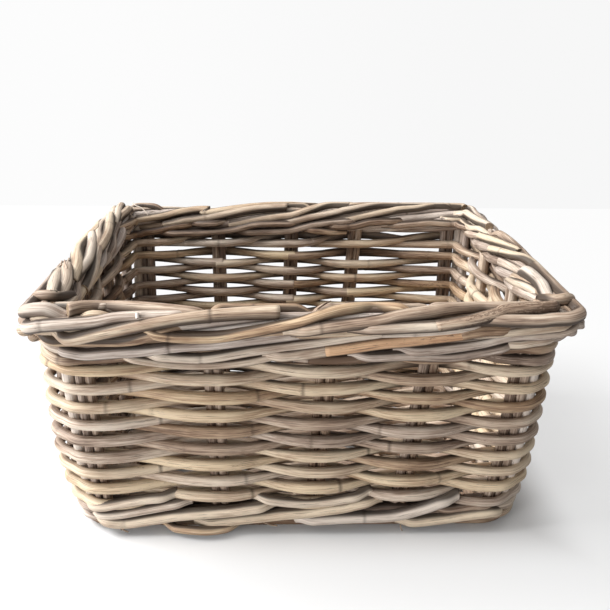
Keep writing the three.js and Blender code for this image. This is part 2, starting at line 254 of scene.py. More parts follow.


# %% [markdown]
# The floor and the wall behind are plain and white. The camera sees them mostly by their own glow,
# so that they stay white. Near the foot the floor glows less, and there the basket's shadow shows.
# All other light meets a floor of a quiet grey, which keeps the underside of each rod dark, as it
# is in a room. The whites are measures of light from 0 to 1, at the window's side and away from it:
# the glow of floor and wall is painted window light, whiter on the window's side. From just in front
# of the basket towards the camera the floor's glow turns greyer, a painted soft shadow.

# %% Floor and wall
STAGE_HALF = 3.0
WALL_DISTANCE = 0.92
# painted window light: floor and wall glow whiter on the window's side than away from it
WALL_WHITES = (0.975, 0.93)
FLOOR_WHITES = (1.0, 0.98)
# painted soft shadow: the floor's glow in front of the basket, towards the camera, is greyer
NEAR_SHADE_WHITES = (0.97, 0.915)
NEAR_FLOOR = (-0.12, -0.2)
WHITE_REACH = 0.5
GLOW_NEAR = (0.0, 0.06)
GLOW_FAR = (0.08, 0.32)
GLOW_SHARES = (0.58, 0.4)
FLOOR_PAINT = 0.84
FOOT_LENGTH = 372
FOOT_DEPTH = 229
FLOOR_GREY = 0.5


def grey(level):
    return (level, level, level, 1.0)


def sheet(name, corners, material):
    """A flat stage piece through four corners."""
    mesh = bpy.data.meshes.new(name)
    mesh.from_pydata(corners, [], [(0, 1, 2, 3)])
    mesh.materials.append(material)
    made = bpy.data.objects.new(name, mesh)
    bpy.context.scene.collection.objects.link(made)


def white(tree, place, whites):
    """A white that is painted window light: full on the window's side, a little less white away from
    it.
    """
    away = place[0].above(-WHITE_REACH, WHITE_REACH)
    return tree.mix(away, *[grey(level) for level in whites])


def glowing(tree, shown):
    """A surface that the camera sees in exactly this colour."""
    return tree.node("ShaderNodeEmission", None, {"Color": shown, "Strength": 1.0})


def matt(tree, level):
    return tree.node("ShaderNodeBsdfDiffuse", None, {"Color": grey(level)})


def for_camera(tree, others, shown):
    """The camera sees one shader, and all other light meets the other."""
    from_camera = tree.node("ShaderNodeLightPath", None, None, "Is Camera Ray")
    return tree.finish(tree.node("ShaderNodeMixShader", None, [from_camera, others, shown]))


def floor_white():
    """The glow starts outside the basket's foot, and grows in two steps away from it. From just in
    front of the basket towards the camera its colour turns greyer, a painted soft shadow.
    """
    tree = Tree("floor_white")
    place = tree.parts(tree.node("ShaderNodeTexCoord", None, None, "Object"))
    aside = [
        tree.node("ShaderNodeMath", {"operation": "ABSOLUTE"}, [axis]) - size * MM / 2
        for axis, size in zip(place, (FOOT_LENGTH, FOOT_DEPTH))
    ]
    outside = tree.node("ShaderNodeMath", {"operation": "MAXIMUM"}, aside)
    glow = outside.above(*GLOW_NEAR) * GLOW_SHARES[0] + outside.above(*GLOW_FAR) * GLOW_SHARES[1]
    whites = [white(tree, place, pair) for pair in (FLOOR_WHITES, NEAR_SHADE_WHITES)]
    # painted soft shadow: the glow turns to the greyer near whites in front of the basket
    own = glowing(tree, tree.mix(place[1].above(*NEAR_FLOOR), *whites))
    shown = tree.node("ShaderNodeMixShader", None, [glow, matt(tree, FLOOR_PAINT), own])
    return for_camera(tree, matt(tree, FLOOR_GREY), shown)


def wall_white():
    tree = Tree("wall_white")
    place = tree.parts(tree.node("ShaderNodeTexCoord", None, None, "Object"))
    shown = glowing(tree, white(tree, place, WALL_WHITES))
    return for_camera(tree, tree.node("ShaderNodeBsdfTransparent"), shown)


half, far = STAGE_HALF, WALL_DISTANCE
sheet("floor", [(-half, -half, 0), (half, -half, 0), (half, far, 0), (-half, far, 0)], floor_white())
sheet("wall", [(-half, far, 0), (half, far, 0), (half, far, half), (-half, far, half)], wall_white())

world = bpy.data.worlds.new("room")
world.use_nodes = True
background = world.node_tree.nodes["Background"]
background.inputs["Color"].default_value = grey(1)
background.inputs["Strength"].default_value = ROOM_LIGHT
bpy.context.scene.world = world

# %% [markdown]
# Weathered rattan has four things to see. Fine fibres run along the rod. Its tone wanders from rod
# to rod and along each rod, between grey, straw and brown. Scraps of dark bark are left on some
# rods. And every hand's breadth a ring marks an old leaf joint. All of it follows the rod, so the
# material reads coordinates that each rod carries: `grain` is the length along the rod and the
# place across it, `look` is tone, warmth and bark, and `marks` is ring, cut end, and dirt with
# painted shade, which darkens a rod where it lies against or under others. Each span below gives
# the values at which a layer starts to show and shows in full.


# %% The rattan
STREAKS = {"waves": (14, 520), "detail": 3.0, "roughness": 0.6}
FIBRES = {"waves": (45, 1900), "detail": 2.0, "roughness": 0.6}
CLOUDS = {"waves": (22, 60), "detail": 3.0, "roughness": 0.55}
STAINS = {"waves": (60, 420), "detail": 4.0, "roughness": 0.65}
DOTS = {"waves": (420, 900), "detail": 2.0, "roughness": 0.6}
SCRATCHES = {"waves": (32, 1300), "detail": 4.0, "roughness": 0.7}
TONE_SWING = 1.3
GREY = {"pale": colour(220, 209, 201), "middle": colour(168, 152, 142), "deep": colour(98, 84, 75)}
STRAW = {"pale": colour(224, 202, 168), "middle": colour(180, 150, 120), "deep": colour(114, 85, 62)}
AMBER = {"pale": colour(224, 184, 146), "middle": colour(186, 142, 108)}
BARK = {"share": 0.75, "over": colour(100, 78, 62)}
FLECK = {"share": 0.55, "over": colour(112, 94, 80)}
SCRATCH = {"share": 0.66, "over": colour(74, 58, 48)}
JOINT = {"share": 0.7, "over": colour(88, 70, 58)}
# dirt and painted shade: a near-black laid over each rod where it lies against or under others
DIRT_AND_SHADE = {"share": 0.88, "over": colour(46, 34, 27)}
CUT_END = (colour(92, 74, 60), colour(170, 146, 118))
MIDDLE_SPAN = (0.0, 0.5)
PALE_SPAN = (0.4, 1.0)
AMBER_SPAN = (1.0, 2.0)
BARK_SPAN = (0.82, 1.02)
FLECK_SPAN = (0.36, 0.29)
SCRATCH_SPAN = (0.57, 0.66)
PORE_SPAN = (0.35, 0.65)
DIRT_AND_SHADE_SPAN = (0.1, 0.85)


def stain(tree, body, mask, share, over):
    """Lays a colour over the body where the mask is 1, and at most up to the share."""
    return tree.mix(mask * share, body, over)


def rattan():
    """Tone picks a colour from deep over middle to pale, and warmth picks grey, straw or amber.
    Bark, flecks, scratches, joints and cut ends are laid over it in turn. Dirt with painted shade
    comes last."""
    tree = Tree("weathered_rattan")
    grain = tree.attribute("grain")
    tone, warmth, bark = tree.parts(tree.attribute("look"))
    ring, cut, dirt_with_shade = tree.parts(tree.attribute("marks"))

    kinds = (STREAKS, FIBRES, CLOUDS, STAINS, DOTS, SCRATCHES)
    streaks, fibres, clouds, stains, dots, scratches = [tree.noise(grain, **kind) for kind in kinds]

    level = tone
    for noise in (streaks, clouds, fibres):
        level = level + (noise - 0.5) * TONE_SWING
    amber = warmth.above(*AMBER_SPAN)
    pale, middle = [
        tree.mix(amber, tree.mix(warmth, GREY[depth], STRAW[depth]), AMBER[depth])
        for depth in ("pale", "middle")
    ]
    deep = tree.mix(warmth, GREY["deep"], STRAW["deep"])
    body = tree.mix(level.above(*MIDDLE_SPAN), deep, middle)
    body = tree.mix(level.above(*PALE_SPAN), body, pale)

    rough_bark = (bark + (stains - 0.5) * 1.6 + (dots - 0.5) * 0.9).above(*BARK_SPAN)
    body = stain(tree, body, rough_bark, **BARK)
    body = stain(tree, body, (stains * 0.6 + dots * 0.4).above(*FLECK_SPAN), **FLECK)
    body = stain(tree, body, scratches.above(*SCRATCH_SPAN), **SCRATCH)
    body = stain(tree, body, ring, **JOINT)
    body = tree.mix(cut, body, tree.mix(fibres.above(*PORE_SPAN), *CUT_END))
    # dirt and painted shade, from the marks that the rod carries
    body = stain(tree, body, (dirt_with_shade + (clouds - 0.5) * 0.5).above(*DIRT_AND_SHADE_SPAN), **DIRT_AND_SHADE)

    relief = streaks * 0.6 + fibres * 0.4 + dots * bark * 0.5 - rough_bark * 0.2
    bump = tree.node(
        "ShaderNodeBump", None, {"Strength": 0.6, "Distance": 0.0006, "Height": relief}
    )
    rough = 0.56 + (fibres - 0.5) * 0.25 + rough_bark * 0.12
    inputs = {"Base Color": body, "Roughness": rough, "Normal": bump, "Specular IOR Level": 0.4}
    return tree.finish(tree.node("ShaderNodeBsdfPrincipled", None, inputs))


RATTAN = rattan()
print("rattan has", len(RATTAN.node_tree.nodes), "nodes")

# %% [markdown]
# Now the wall. A place on it is given by three numbers: how far round the basket, how far outside
# the line of the stakes, and how high. The way round is counted in sides, so 0.5 is the middle of
# the front, 1 is the front right corner and 1.5 the middle of the right side. At its corners the
# line bends in an arc, wide at the foot and tight higher up, and the basket grows with height.
# Between their corner posts the two short walls bow out, the left one more.

# %% The line of the stakes
TOP_LENGTH = 366
TOP_DEPTH = 265
LEAN = 3
CORNER = 30
SHARP_CORNER = 9
SHARP_FROM = 70
LEAST_BEND = 2
POST_IN = 6.5
RIM_OUT = 5.7
BACK_MIDDLE = 2.5
BOW_LEFT = 9
BOW_RIGHT = 3
BOW_REACH = 8.5
BOW_FROM = 0.08
BOW_GROWTH = 0.35

RIM_MIDDLE = box_in_mm("border_core")[:, 2].mean()
SIDE_OUT = np.array([(0, -1), (1, 0), (0, 1), (-1, 0)], float)
SIDE_ALONG = np.array([(1, 0), (0, 1), (-1, 0), (0, -1)], float)
print("middle of the rim in millimetres:", round(RIM_MIDDLE, 1))


def stake_line(z):
    """Half length, half depth and middle of the line at height z, each a straight line in z."""
    rise = np.asarray(z, float) / RIM_MIDDLE
    half_x = (FOOT_LENGTH + (TOP_LENGTH - FOOT_LENGTH) * rise) / 2
    half_y = (FOOT_DEPTH + (TOP_DEPTH - FOOT_DEPTH) * rise) / 2
    return half_x, half_y, -LEAN * (1 - rise)


def wall_line(z):
    """The same for the walls between foot and rim, whose corner posts stand a little further in."""
    half_x, half_y, middle = stake_line(z)
    return half_x - POST_IN, half_y, middle


def corner_at(z):
    """The radius of the wall's corner at height z: it shrinks evenly up to a third of the height."""
    return CORNER + (SHARP_CORNER - CORNER) * np.clip(z / SHARP_FROM, 0, 1)


def bow(side, away, z):
    """How far a short wall bows out, at a distance from its nearer corner post: a bell curve turned
    over, which grows smoothly from the foot up to the middle of the height."""
    rise = np.clip((z / RIM_MIDDLE - BOW_FROM) / BOW_GROWTH, 0, 1)
    most = np.select([side == 3, side == 1], [BOW_LEFT, BOW_RIGHT], 0)
    return most * rise * rise * (3 - 2 * rise) * (1 - np.exp(-((away / BOW_REACH) ** 2)))


def wall_point(way, out, z, bend=None):
    """Points on the wall. The share of a side gives the distance along it; past the straight part
    the point runs on an arc of radius bend. Rods that give no bend follow the line and its bow."""
    way, out, z = np.broadcast_arrays(np.asarray(way, float), np.asarray(out, float), z)
    half_x, half_y, middle = wall_line(z) if bend is None else stake_line(z)
    side = np.floor(way).astype(int) % 4
    share = 2 * (way % 1) - 1
    across = side % 2 == 1
    half = np.where(across, half_y, half_x)
    reach = np.where(across, half_x, half_y)
    if bend is None:
        corner, bowed = corner_at(z), bow(side, (1 - abs(share)) * half, z)
        bend = np.maximum(corner + out, LEAST_BEND)
    else:
        corner, bowed = CORNER, 0
    straight = 1 - corner / half
    angle = np.clip((abs(share) - straight) / (1 - straight), 0, 1) * np.sign(share) * np.pi / 4
    along = np.clip(share / straight, -1, 1) * (half + out - bend) + np.sin(angle) * bend
    outward = reach + out + bowed - bend + np.cos(angle) * bend
    flat = SIDE_OUT[side] * outward[..., None] + SIDE_ALONG[side] * along[..., None]
    flat[..., 0] += middle
    return np.concatenate([flat, z[..., None]], -1) * MM


def way_at(side, share):
    """The way round at a share of a side, from -1 at its start to 1 at its end."""
    return side + (share + 1) / 2


def way_past_corner(corner, distance, z):
    """The way round at a distance in millimetres from the middle of a corner."""
    half_x, half_y, _ = wall_line(z)
    side = corner if distance >= 0 else corner - 1
    half = half_y if side % 2 else half_x
    radius = corner_at(z)
    arc = radius * np.pi / 4
    far = abs(distance)
    share = radius / half * min(far / arc, 1) + max(far - arc, 0) / half
    return corner + np.sign(distance) * share / 2


# %% [markdown]
# A rod is a round section carried along a path. Its radius is never quite even: it swells and thins
# slowly, it is a little oval, and fine flutes run along it. At each leaf joint there is a low ring
# with a groove beside it. Every vertex also stores where it lies in the rod, for the material. All
# rods of one piece go into one mesh.

# %% Lines that wander
ROD_SIDES = 18
ROD_STEP = 2.2
LEAST_ROWS = 5
SEEDS = {
    "pairs": 11, "corners": 12, "rows": 21, "bands": 31, "rope": 41, "core": 42,
    "foot": 51, "frame": 52, "sticks": 53, "weaver": 54, "strands": 61,
}
JUST_BEFORE = 0.001


def draws(use, *numbers):
    """Random draws for one use, which are the same in each run."""
    return np.random.default_rng([SEEDS[use], *numbers])


def wander(rng, count, waves):
    """A smooth random line from -1 to 1: random knots, joined by cosine steps."""
    knots = rng.uniform(-1, 1, int(waves) + 2)
    place = np.linspace(0, len(knots) - 1 - JUST_BEFORE, count)
    first = place.astype(int)
    ease = (1 - np.cos((place - first) * np.pi)) / 2
    return knots[first] * (1 - ease) + knots[first + 1] * ease


def resample(path, *others):
    """The path and what goes with it, again with even steps, and the length reached at each."""
    steps = np.linalg.norm(np.diff(path, axis=0), axis=1)
    reached = np.concatenate([[0], np.cumsum(steps)])
    length = np.linspace(0, reached[-1], max(int(reached[-1] / (ROD_STEP * MM)), LEAST_ROWS))
    columns = np.concatenate([path, *others], -1)
    even = np.stack([np.interp(length, reached, column) for column in columns.T], -1)
    return even[:, :3], even[:, 3:], length


# %% [markdown]
# The skin of a rod is a grid: one row for each step along it, one column for each direction round
# it. Where a rod is pressed on another it is darkened by dirt and painted shade, so each path can
# say where that darkening lies. Its first two numbers point to a darkened side, inwards and upwards.
# The last two point to a neighbour, and the darkening then lies on both opposite sides alike.

# %% A rod
RING_WIDTH = 1.3
RING_HEIGHT = 0.045
RING_GROOVE = 0.9
GROOVE_PLACE = 1.4
RING_DARK = 1.1
DARK_WIDTH = 0.7
FIRST_RING = (0.02, 0.22)
NEXT_RING = (0.12, 0.3)
LAST_RING = 0.01
SWELL_LENGTH = 0.05
SWELL = 0.05
OVAL = 0.035
FLUTES = 7
FLUTE = 0.012
TONE_WANDER = 0.1
BARK_WANDER = 0.3
CUT_EDGE = 0.86
CUT_RISE = (0.0003, 0.0001)
ROD_ENDS = ((0, -1), (-1, 1))
GRAIN_STARTS = 40
ANGLE = np.linspace(0, 2 * np.pi, ROD_SIDES, endpoint=False)
COSINE, SINE = np.cos(ANGLE), np.sin(ANGLE)


def ring_marks(rng, length):
    """How much the radius grows at leaf joints, and how dark they are, along the rod."""
    height, dark = np.zeros(len(length)), np.zeros(len(length))
    place = rng.uniform(*FIRST_RING)
    while place < length[-1] - LAST_RING:
        away = (length - place) / (RING_WIDTH * MM)
        groove = RING_GROOVE * np.exp(-((away - GROOVE_PLACE) ** 2))
        height += RING_HEIGHT * (np.exp(-(away**2)) - groove)
        dark = np.maximum(dark, np.exp(-(((away - RING_DARK) / DARK_WIDTH) ** 2)))
        place += rng.uniform(*NEXT_RING)
    return height, dark


def directions(path, upright):
    """Three directions at each point of a path: along it, into the basket, and up. For an upright
    rod the last two are level."""
    tangent = np.gradient(path, axis=0)
    tangent /= np.linalg.norm(tangent, axis=1, keepdims=True)
    side = np.cross((0, 1.0, 0) if upright else (0, 0, 1.0), tangent)
    side /= np.linalg.norm(side, axis=1, keepdims=True)
    return tangent, side, np.cross(tangent, side)


def radii(thick, height, waves, rng):
    """The radius at each step s and angle a: thick/2 (1 + swells(s) + rings(s)), times an oval part
    in cos 2a, times the flutes in cos 7a."""
    count = len(thick)
    radius = thick * MM / 2 * (1 + SWELL * wander(rng, count, waves) + height)
    turn = rng.uniform(0, np.pi) + wander(rng, count, 2)
    oval = 1 + OVAL * np.cos(2 * (ANGLE - turn[:, None]))
    flute = 1 + FLUTE * np.cos(FLUTES * ANGLE + 2 * wander(rng, count, waves)[:, None])
    return radius[:, None] * oval * flute


def dirt_and_shade_at(darkened_sides):
    """Dirt and painted shade from 0 to 1 at each step and angle: on the side that the first two numbers
    point to, and on both sides along the line of the last two."""
    facing = darkened_sides[:, :1] * COSINE + darkened_sides[:, 1:2] * SINE
    beside = abs(darkened_sides[:, 2:3] * COSINE + darkened_sides[:, 3:] * SINE)
    return np.clip(np.clip(facing, 0, 1) ** 1.5 + beside**3, 0, 1)


def closed(skin, grain, look, marks, tangent):
    """The rod's arrays and faces. Quads join the rows of the skin. Each end is closed by a narrow
    band and a fan, which have vertices of their own and are marked as cut."""
    ids = np.arange(skin[..., 0].size).reshape(len(skin), ROD_SIDES)
    nexts = np.roll(ids, -1, 1)
    quads = [np.stack([ids[:-1], nexts[:-1], nexts[1:], ids[1:]], -1).reshape(-1, 4)]
    triangles = []
    total = ids.size
    layers = [[values.reshape(-1, 3)] for values in (skin, grain, look, marks)]
    for row, way in ROD_ENDS:
        middle = skin[row].mean(0)
        edge = middle + (skin[row] - middle) * CUT_EDGE + tangent[row] * way * CUT_RISE[0]
        ring = total + np.arange(ROD_SIDES)
        ring_nexts = np.roll(ring, -1)
        band = np.stack([ids[row], nexts[row], ring_nexts, ring], -1)
        fan = np.stack([ring, ring_nexts, np.full(ROD_SIDES, total + ROD_SIDES)], -1)
        quads.append(band[:, ::way])
        triangles.append(fan[:, ::way])
        layers[0] += [edge, middle[None] + tangent[row] * way * CUT_RISE[1]]
        layers[1] += [grain[row] * (1, CUT_EDGE, CUT_EDGE), grain[row][:1] * (1, 0, 0)]
        layers[2] += [look[row], look[row][:1]]
        layers[3] += [np.tile((0.0, 1.0, 0.0), (ROD_SIDES + 1, 1))]
        total += ROD_SIDES + 1
    arrays = [np.concatenate(layer) for layer in layers]
    return dict(zip(("skin", "grain", "look", "marks"), arrays), quads=quads, triangles=triangles)


def rod(path, thickness, rng, tone=0.5, warmth=0.5, bark=0.2, upright=False, slant=0.0, darkened_sides=None):
    """One rod as arrays. Point p(s) of the path carries a circle: p + r(s, a)(cos a n + sin a b),
    where n points into the basket and b up, or both are level for an upright rod."""
    path = np.asarray(path, float)
    darkened_sides = np.zeros((len(path), 4)) if darkened_sides is None else darkened_sides
    measures = [np.broadcast_to(measure, len(path))[:, None] for measure in (thickness, tone)]
    path, others, length = resample(path, darkened_sides, *measures)
    darkened_sides, thick, tone = others[:, :4], others[:, 4], others[:, 5]
    tangent, side, over = directions(path, upright)
    count = len(path)
    waves = max(length[-1] / SWELL_LENGTH, 1)
    height, dark = ring_marks(rng, length)
    reach = radii(thick, height, waves, rng)
    circle = side[:, None] * COSINE[:, None] + over[:, None] * SINE[:, None]
    skin = path[:, None] + circle * reach[..., None]
    for row, way in ROD_ENDS:
        lean = slant * way * reach[row] * np.cos(ANGLE - rng.uniform(0, 6))
        skin[row] += tangent[row] * lean[:, None]

    start = rng.uniform(0, GRAIN_STARTS)
    grain = np.broadcast_arrays((length + start)[:, None], COSINE * reach, SINE * reach)
    tones = tone + TONE_WANDER * wander(rng, count, waves / 2)
    barks = np.clip(bark + BARK_WANDER * wander(rng, count, waves / 2), 0, 1)
    look = np.repeat(np.stack([tones, np.full(count, warmth), barks], -1)[:, None], ROD_SIDES, 1)
    # dirt and painted shade go to the material as the last of the marks
    marks = np.broadcast_arrays(dark[:, None], 0.0, dirt_and_shade_at(darkened_sides))
    return closed(skin, np.stack(grain, -1), look, np.stack(marks, -1), tangent)


# %% [markdown]
# The rods of one piece are joined into one mesh. Their sides are shaded smooth, and their cut ends
# flat, so that the edge of a cut is crisp.

# %% A piece
def piece(name, rods):
    """One mesh object from several rods, in place of the measured node of the same name."""
    starts = np.cumsum([0] + [len(one["skin"]) for one in rods[:-1]])
    placed = list(zip(rods, starts))
    sides = [one["quads"][0] + start for one, start in placed]
    bands = [band + start for one, start in placed for band in one["quads"][1:]]
    fans = [fan + start for one, start in placed for fan in one["triangles"]]
    sides, bands, fans = [np.concatenate(faces).tolist() for faces in (sides, bands, fans)]
    vertices = np.concatenate([one["skin"] for one in rods])
    mesh = bpy.data.meshes.new(name + "_rods")
    mesh.from_pydata(vertices.tolist(), [], sides + bands + fans)
    smooth = np.arange(len(mesh.polygons)) < len(sides)
    mesh.polygons.foreach_set("use_smooth", smooth)
    for key in ("grain", "look", "marks"):
        values = np.concatenate([one[key] for one in rods]).astype(np.float32)
        mesh.attributes.new(key, "FLOAT_VECTOR", "POINT").data.foreach_set("vector", values.ravel())
    mesh.materials.append(RATTAN)
    made = bpy.data.objects.new(name + "_rods", mesh)
    bpy.context.scene.collection.objects.link(made)
    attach(made, BODY)
    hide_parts(name)


# %% [markdown]
# Painted light and shade: the right wall, which faces the window across the basket, is painted
# paler, the left wall darker, and a painted pool of light lies at the left end of the front. Both
# the stakes and the rows take their change of tone from here.

# %% Painted window light
WINDOW_LIGHT_TONE = 0.35
WINDOW_LIGHT_LIMITS = (-1, 1.5)
SHADIEST_WAY = 3.5
LIT_PATCH_TONE = 0.18
LIT_PATCH_WAY = 0.1
LIT_PATCH_REACH = 0.25


def painted_window_light(way):
    """The painted light and shade added to a rod's tone: a cosine round the basket, whose fifth
    power keeps it to the short walls, and a bell curve for the lit patch."""
    patch = ((way - LIT_PATCH_WAY + 2) % 4 - 2) / LIT_PATCH_REACH
    lit_side = np.clip(-2 * np.cos((way - SHADIEST_WAY) * np.pi / 2) ** 5, *WINDOW_LIGHT_LIMITS)
    return WINDOW_LIGHT_TONE * lit_side + LIT_PATCH_TONE * np.exp(-(patch**2))


print("added in the middle of each side:", np.round(painted_window_light(np.arange(4) + 0.5), 2).tolist())

# %% [markdown]
# The uprights come first. Between the corners they stand in twos, and at each corner five rods
# stand side by side: three on one wall, the last of them the pale corner post, and two on the
# other. They are darker than the rest: dust and painted shade behind the rows.

# %% Stakes
STAKE = 8
POST = 9.0
POST_OUT = 1.2
STAKE_SPACING = 7.2
POST_GAP = 8.7
PAIRS = {
    "front": (-0.37, 0.1, 0.53),
    "right": (-0.33, 0.33),
    "back": (-0.34, 0.04, 0.48),
    "left": (-0.33, 0.33),
}
FAN_FOOT = 329
FAN_TOP = 365
FAN_LEAN = 7
CORNERS = ("front_right", "back_right", "back_left", "front_left")
GROUPS = {"post": (-2, -1, 0), "flank": (POST_GAP / STAKE_SPACING, POST_GAP / STAKE_SPACING + 1)}
STAKE_LOW = 8.6
STAKE_HIGH = RIM_MIDDLE - 8
STAKE_POINTS = 12
STAKE_WANDER = 0.6
# dust and painted shade that darken each stake, one side more
STAKE_DIRT_AND_SHADE = (0.55, 0.2, 0.0, 0.0)
STAKE_LIGHT_SHARE = 1.2
PAIR_TONE = (0.05, 0.4)
PAIR_WARMTH = (0.3, 0.7)
POST_TONE = 1.0
FLANK_TONE = (0.15, 0.45)
FLANK_WARMTH = (0.1, 0.5)


def pair_way(side, share, z):
    """The way round at which a pair stands. In the long walls the pairs fan out with height."""
    if side % 2:
        return way_at(side, share)
    rise = z / RIM_MIDDLE
    half, _, middle = wall_line(z)
    fan = share * (FAN_FOOT + (FAN_TOP - FAN_FOOT) * rise) / 2
    shift = -FAN_LEAN * (1 - rise) - middle
    return way_at(side, (fan + SIDE_ALONG[side][0] * shift) / half)


def stake(way_at_height, thick, out, rng, tone, warmth, bark):
    """An upright from the foot into the rim, straight but for a slight bow."""
    height = np.linspace(STAKE_LOW, STAKE_HIGH, STAKE_POINTS)
    ways = np.array([way_at_height(z) for z in height])
    darkened_sides = np.tile(STAKE_DIRT_AND_SHADE, (STAKE_POINTS, 1))
    place = wall_point(ways, out + STAKE_WANDER * wander(rng, STAKE_POINTS, 3), height)
    # painted window light added to the stake's tone
    tone = tone + STAKE_LIGHT_SHARE * np.clip(painted_window_light(ways), 0, 1)
    return rod(place, thick, rng, tone, warmth, bark, upright=True, darkened_sides=darkened_sides)


for side, (side_name, shares) in enumerate(PAIRS.items()):
    for number, share in enumerate(shares, 1):
        rng = draws("pairs", side, number)
        rods = []
        for aside in (-STAKE_SPACING / 4, STAKE_SPACING / 4):
            tone, warmth = rng.uniform(*PAIR_TONE), rng.uniform(*PAIR_WARMTH)

            def way(z):
                return pair_way(side, share, z) + aside / wall_line(z)[side % 2]

            rods.append(stake(way, STAKE, 0, rng, tone, warmth, bark=0.4))
        piece(f"stake_pair_{side_name}_{number}", rods)

for index, corner_name in enumerate(CORNERS):
    for group, spots in GROUPS.items():
        rng = draws("corners", index, len(spots))
        rods = []
        for spot in spots:
            thick, out = (STAKE, 0) if spot else (POST, POST_OUT)
            tone = rng.uniform(*FLANK_TONE) if spot else POST_TONE
            warmth = rng.uniform(*FLANK_WARMTH)

            def way(z):
                return way_past_corner(index + 1, spot * STAKE_SPACING, z)

            rods.append(stake(way, thick, out, rng, tone, warmth, bark=0.2))
        piece(f"corner_{group}_{corner_name}", rods)
print("stakes done")

# %% [markdown]
# The rows are plain weave. A row passes outside one station and inside the next, and the row above
# it does the opposite. Between stations it eases from one to the other in a cosine curve, as a
# springy rod does. Each row is two or three rods long, and they end behind a pair of stakes.

# %% Stations
WEAVE_OUT = 8.2
PAIR_REACH = 3.5
CORNER_REACH = 16
SIDE_REACH = 21
IS_PAIR = np.array([kind for shares in PAIRS.values() for kind in (False, *(True for _ in shares))])
COUNT = len(IS_PAIR)
LAPS = (-1, 0, 1, 2)
PRESSED_IN = 0.8
# painted shade: tilts the darkened side of each row towards its underside
PRESSED_UP = -0.3
NEIGHBOUR_DIRT_AND_SHADE = 0.42
CROSSING_DIRT_AND_SHADE = 0.65


def knots_at(z, outside=False):
    """Where a rod at height z bends: before and after each corner and each pair. A rod that passes
    outside a corner stays out further into the short wall than into the long one."""
    knots = []
    for side, shares in enumerate(PAIRS.values()):
        short = SIDE_REACH if outside else CORNER_REACH
        before, after = (CORNER_REACH, short) if side % 2 else (short, CORNER_REACH)
        knots.append([way_past_corner(side, away, z) for away in (-before, after)])
        reach = PAIR_REACH / wall_line(z)[side % 2] / 2
        for share in shares:
            middle = pair_way(side, share, z)
            knots.append([middle - reach, middle + reach])
    return np.array(knots)


print("ways of the stations:", np.round(knots_at(RIM_MIDDLE / 2).mean(1), 3).tolist())


def eased(way, knots, values):
    """Values at knots round the basket, joined by cosine steps, on any lap."""
    knots = np.concatenate([knots + 4 * lap for lap in LAPS])
    values = np.tile(values, len(LAPS))
    slot = np.clip(np.searchsorted(knots, way, side="right") - 1, 0, len(knots) - 2)
    share = np.clip((way - knots[slot]) / (knots[slot + 1] - knots[slot]), 0, 1)
    ease = (1 - np.cos(share * np.pi)) / 2
    return values[slot] * (1 - ease) + values[slot + 1] * ease


def pressed(out, more=0.0):
    """Dirt and painted shade on a rod that weaves: on its side towards the stakes where it passes them,
    tilted a little towards its underside, and above and below where it crosses between the rows
    next to it."""
    beside = np.cbrt(NEIGHBOUR_DIRT_AND_SHADE + CROSSING_DIRT_AND_SHADE * (1 - abs(out)) + more)
    return np.stack(np.broadcast_arrays(out * PRESSED_IN, PRESSED_UP, 0.0, beside), -1)


# %% [markdown]
# A row that passes outside a corner is pressed flat on the post there. Then it springs out again on
# the short wall, and it bulges. Each row also keeps a little of its maker's hand: it wanders by a
# millimetre, and its rods differ in thickness and tone.

# %% Rows
ROWS = 17
ROD_STEP_WAY = 0.004
OVERLAP = 0.012
SQUEEZE = 0.2
SQUEEZE_REACH = 0.16
PINCH = -2
PINCH_REACH = 7
BULGE = 1.8
BULGE_PLACE = 13
BULGE_REACH = 9
ROW_SPLITS = (0, 1.4, 2.7)
ROW_THICK = (9.2, 10.3)
ROW_NIP = 0.16
ROW_WANDER = 0.9
ROW_WAVES = 6
ROW_TONE = (0.3, 0.85)
ROW_WARMTH = (0.35, 1.05)
MOST_BARK = 0.45
BARK_CHANCE = 0.12
MORE_BARK = 0.4
LIGHT_LIFTS_SHADE = 1.8


def weave(way, row, z):
    """1 where a row passes outside the stakes, -1 where it passes inside."""
    signs = np.where((np.arange(COUNT) + row) % 2 == 1, 1.0, -1.0)
    outside = signs[:, None] * ~IS_PAIR[:, None] > 0
    knots = np.where(outside, knots_at(z, True), knots_at(z))
    return eased(way, knots.ravel(), np.repeat(signs, 2))


def row_ends(row, z, rng):
    """Where the rods of a row end: two or three of the pairs that it passes inside."""
    hidden = IS_PAIR & ((np.arange(COUNT) + row) % 2 == 0)
    middles = knots_at(z).mean(1)[hidden]
    wanted = rng.uniform(0, 4) + np.array(ROW_SPLITS)
    away = abs((middles[:, None] - wanted + 2) % 4 - 2)
    return sorted(set(middles[away.argmin(0)].tolist()))


def spring(way, row, z):
    """How far a row is off its usual place near the corners that it passes outside, in millimetres:
    the sum of a pinch at the post and a bulge beside it, each a bell curve of the distance."""
    half = wall_line(z)[1]
    extra = np.zeros(len(way))
    for corner in range(4):
        station = np.flatnonzero(~IS_PAIR)[corner]
        if (station + row) % 2 == 0:
            continue
        away = ((way - corner + 2) % 4 - 2) * 2 * half
        inward = away if corner % 2 else -away
        extra += PINCH * np.exp(-((away / PINCH_REACH) ** 2))
        extra += BULGE * np.exp(-(((inward - BULGE_PLACE) / BULGE_REACH) ** 2))
    return extra


def girth(way):
    """A rod is squeezed where it bends round a corner: its share of its usual thickness."""
    away = abs((way + 0.5) % 1 - 0.5) / SQUEEZE_REACH
    return 1 - SQUEEZE * (1 + np.cos(np.clip(away, 0, 1) * np.pi)) / 2


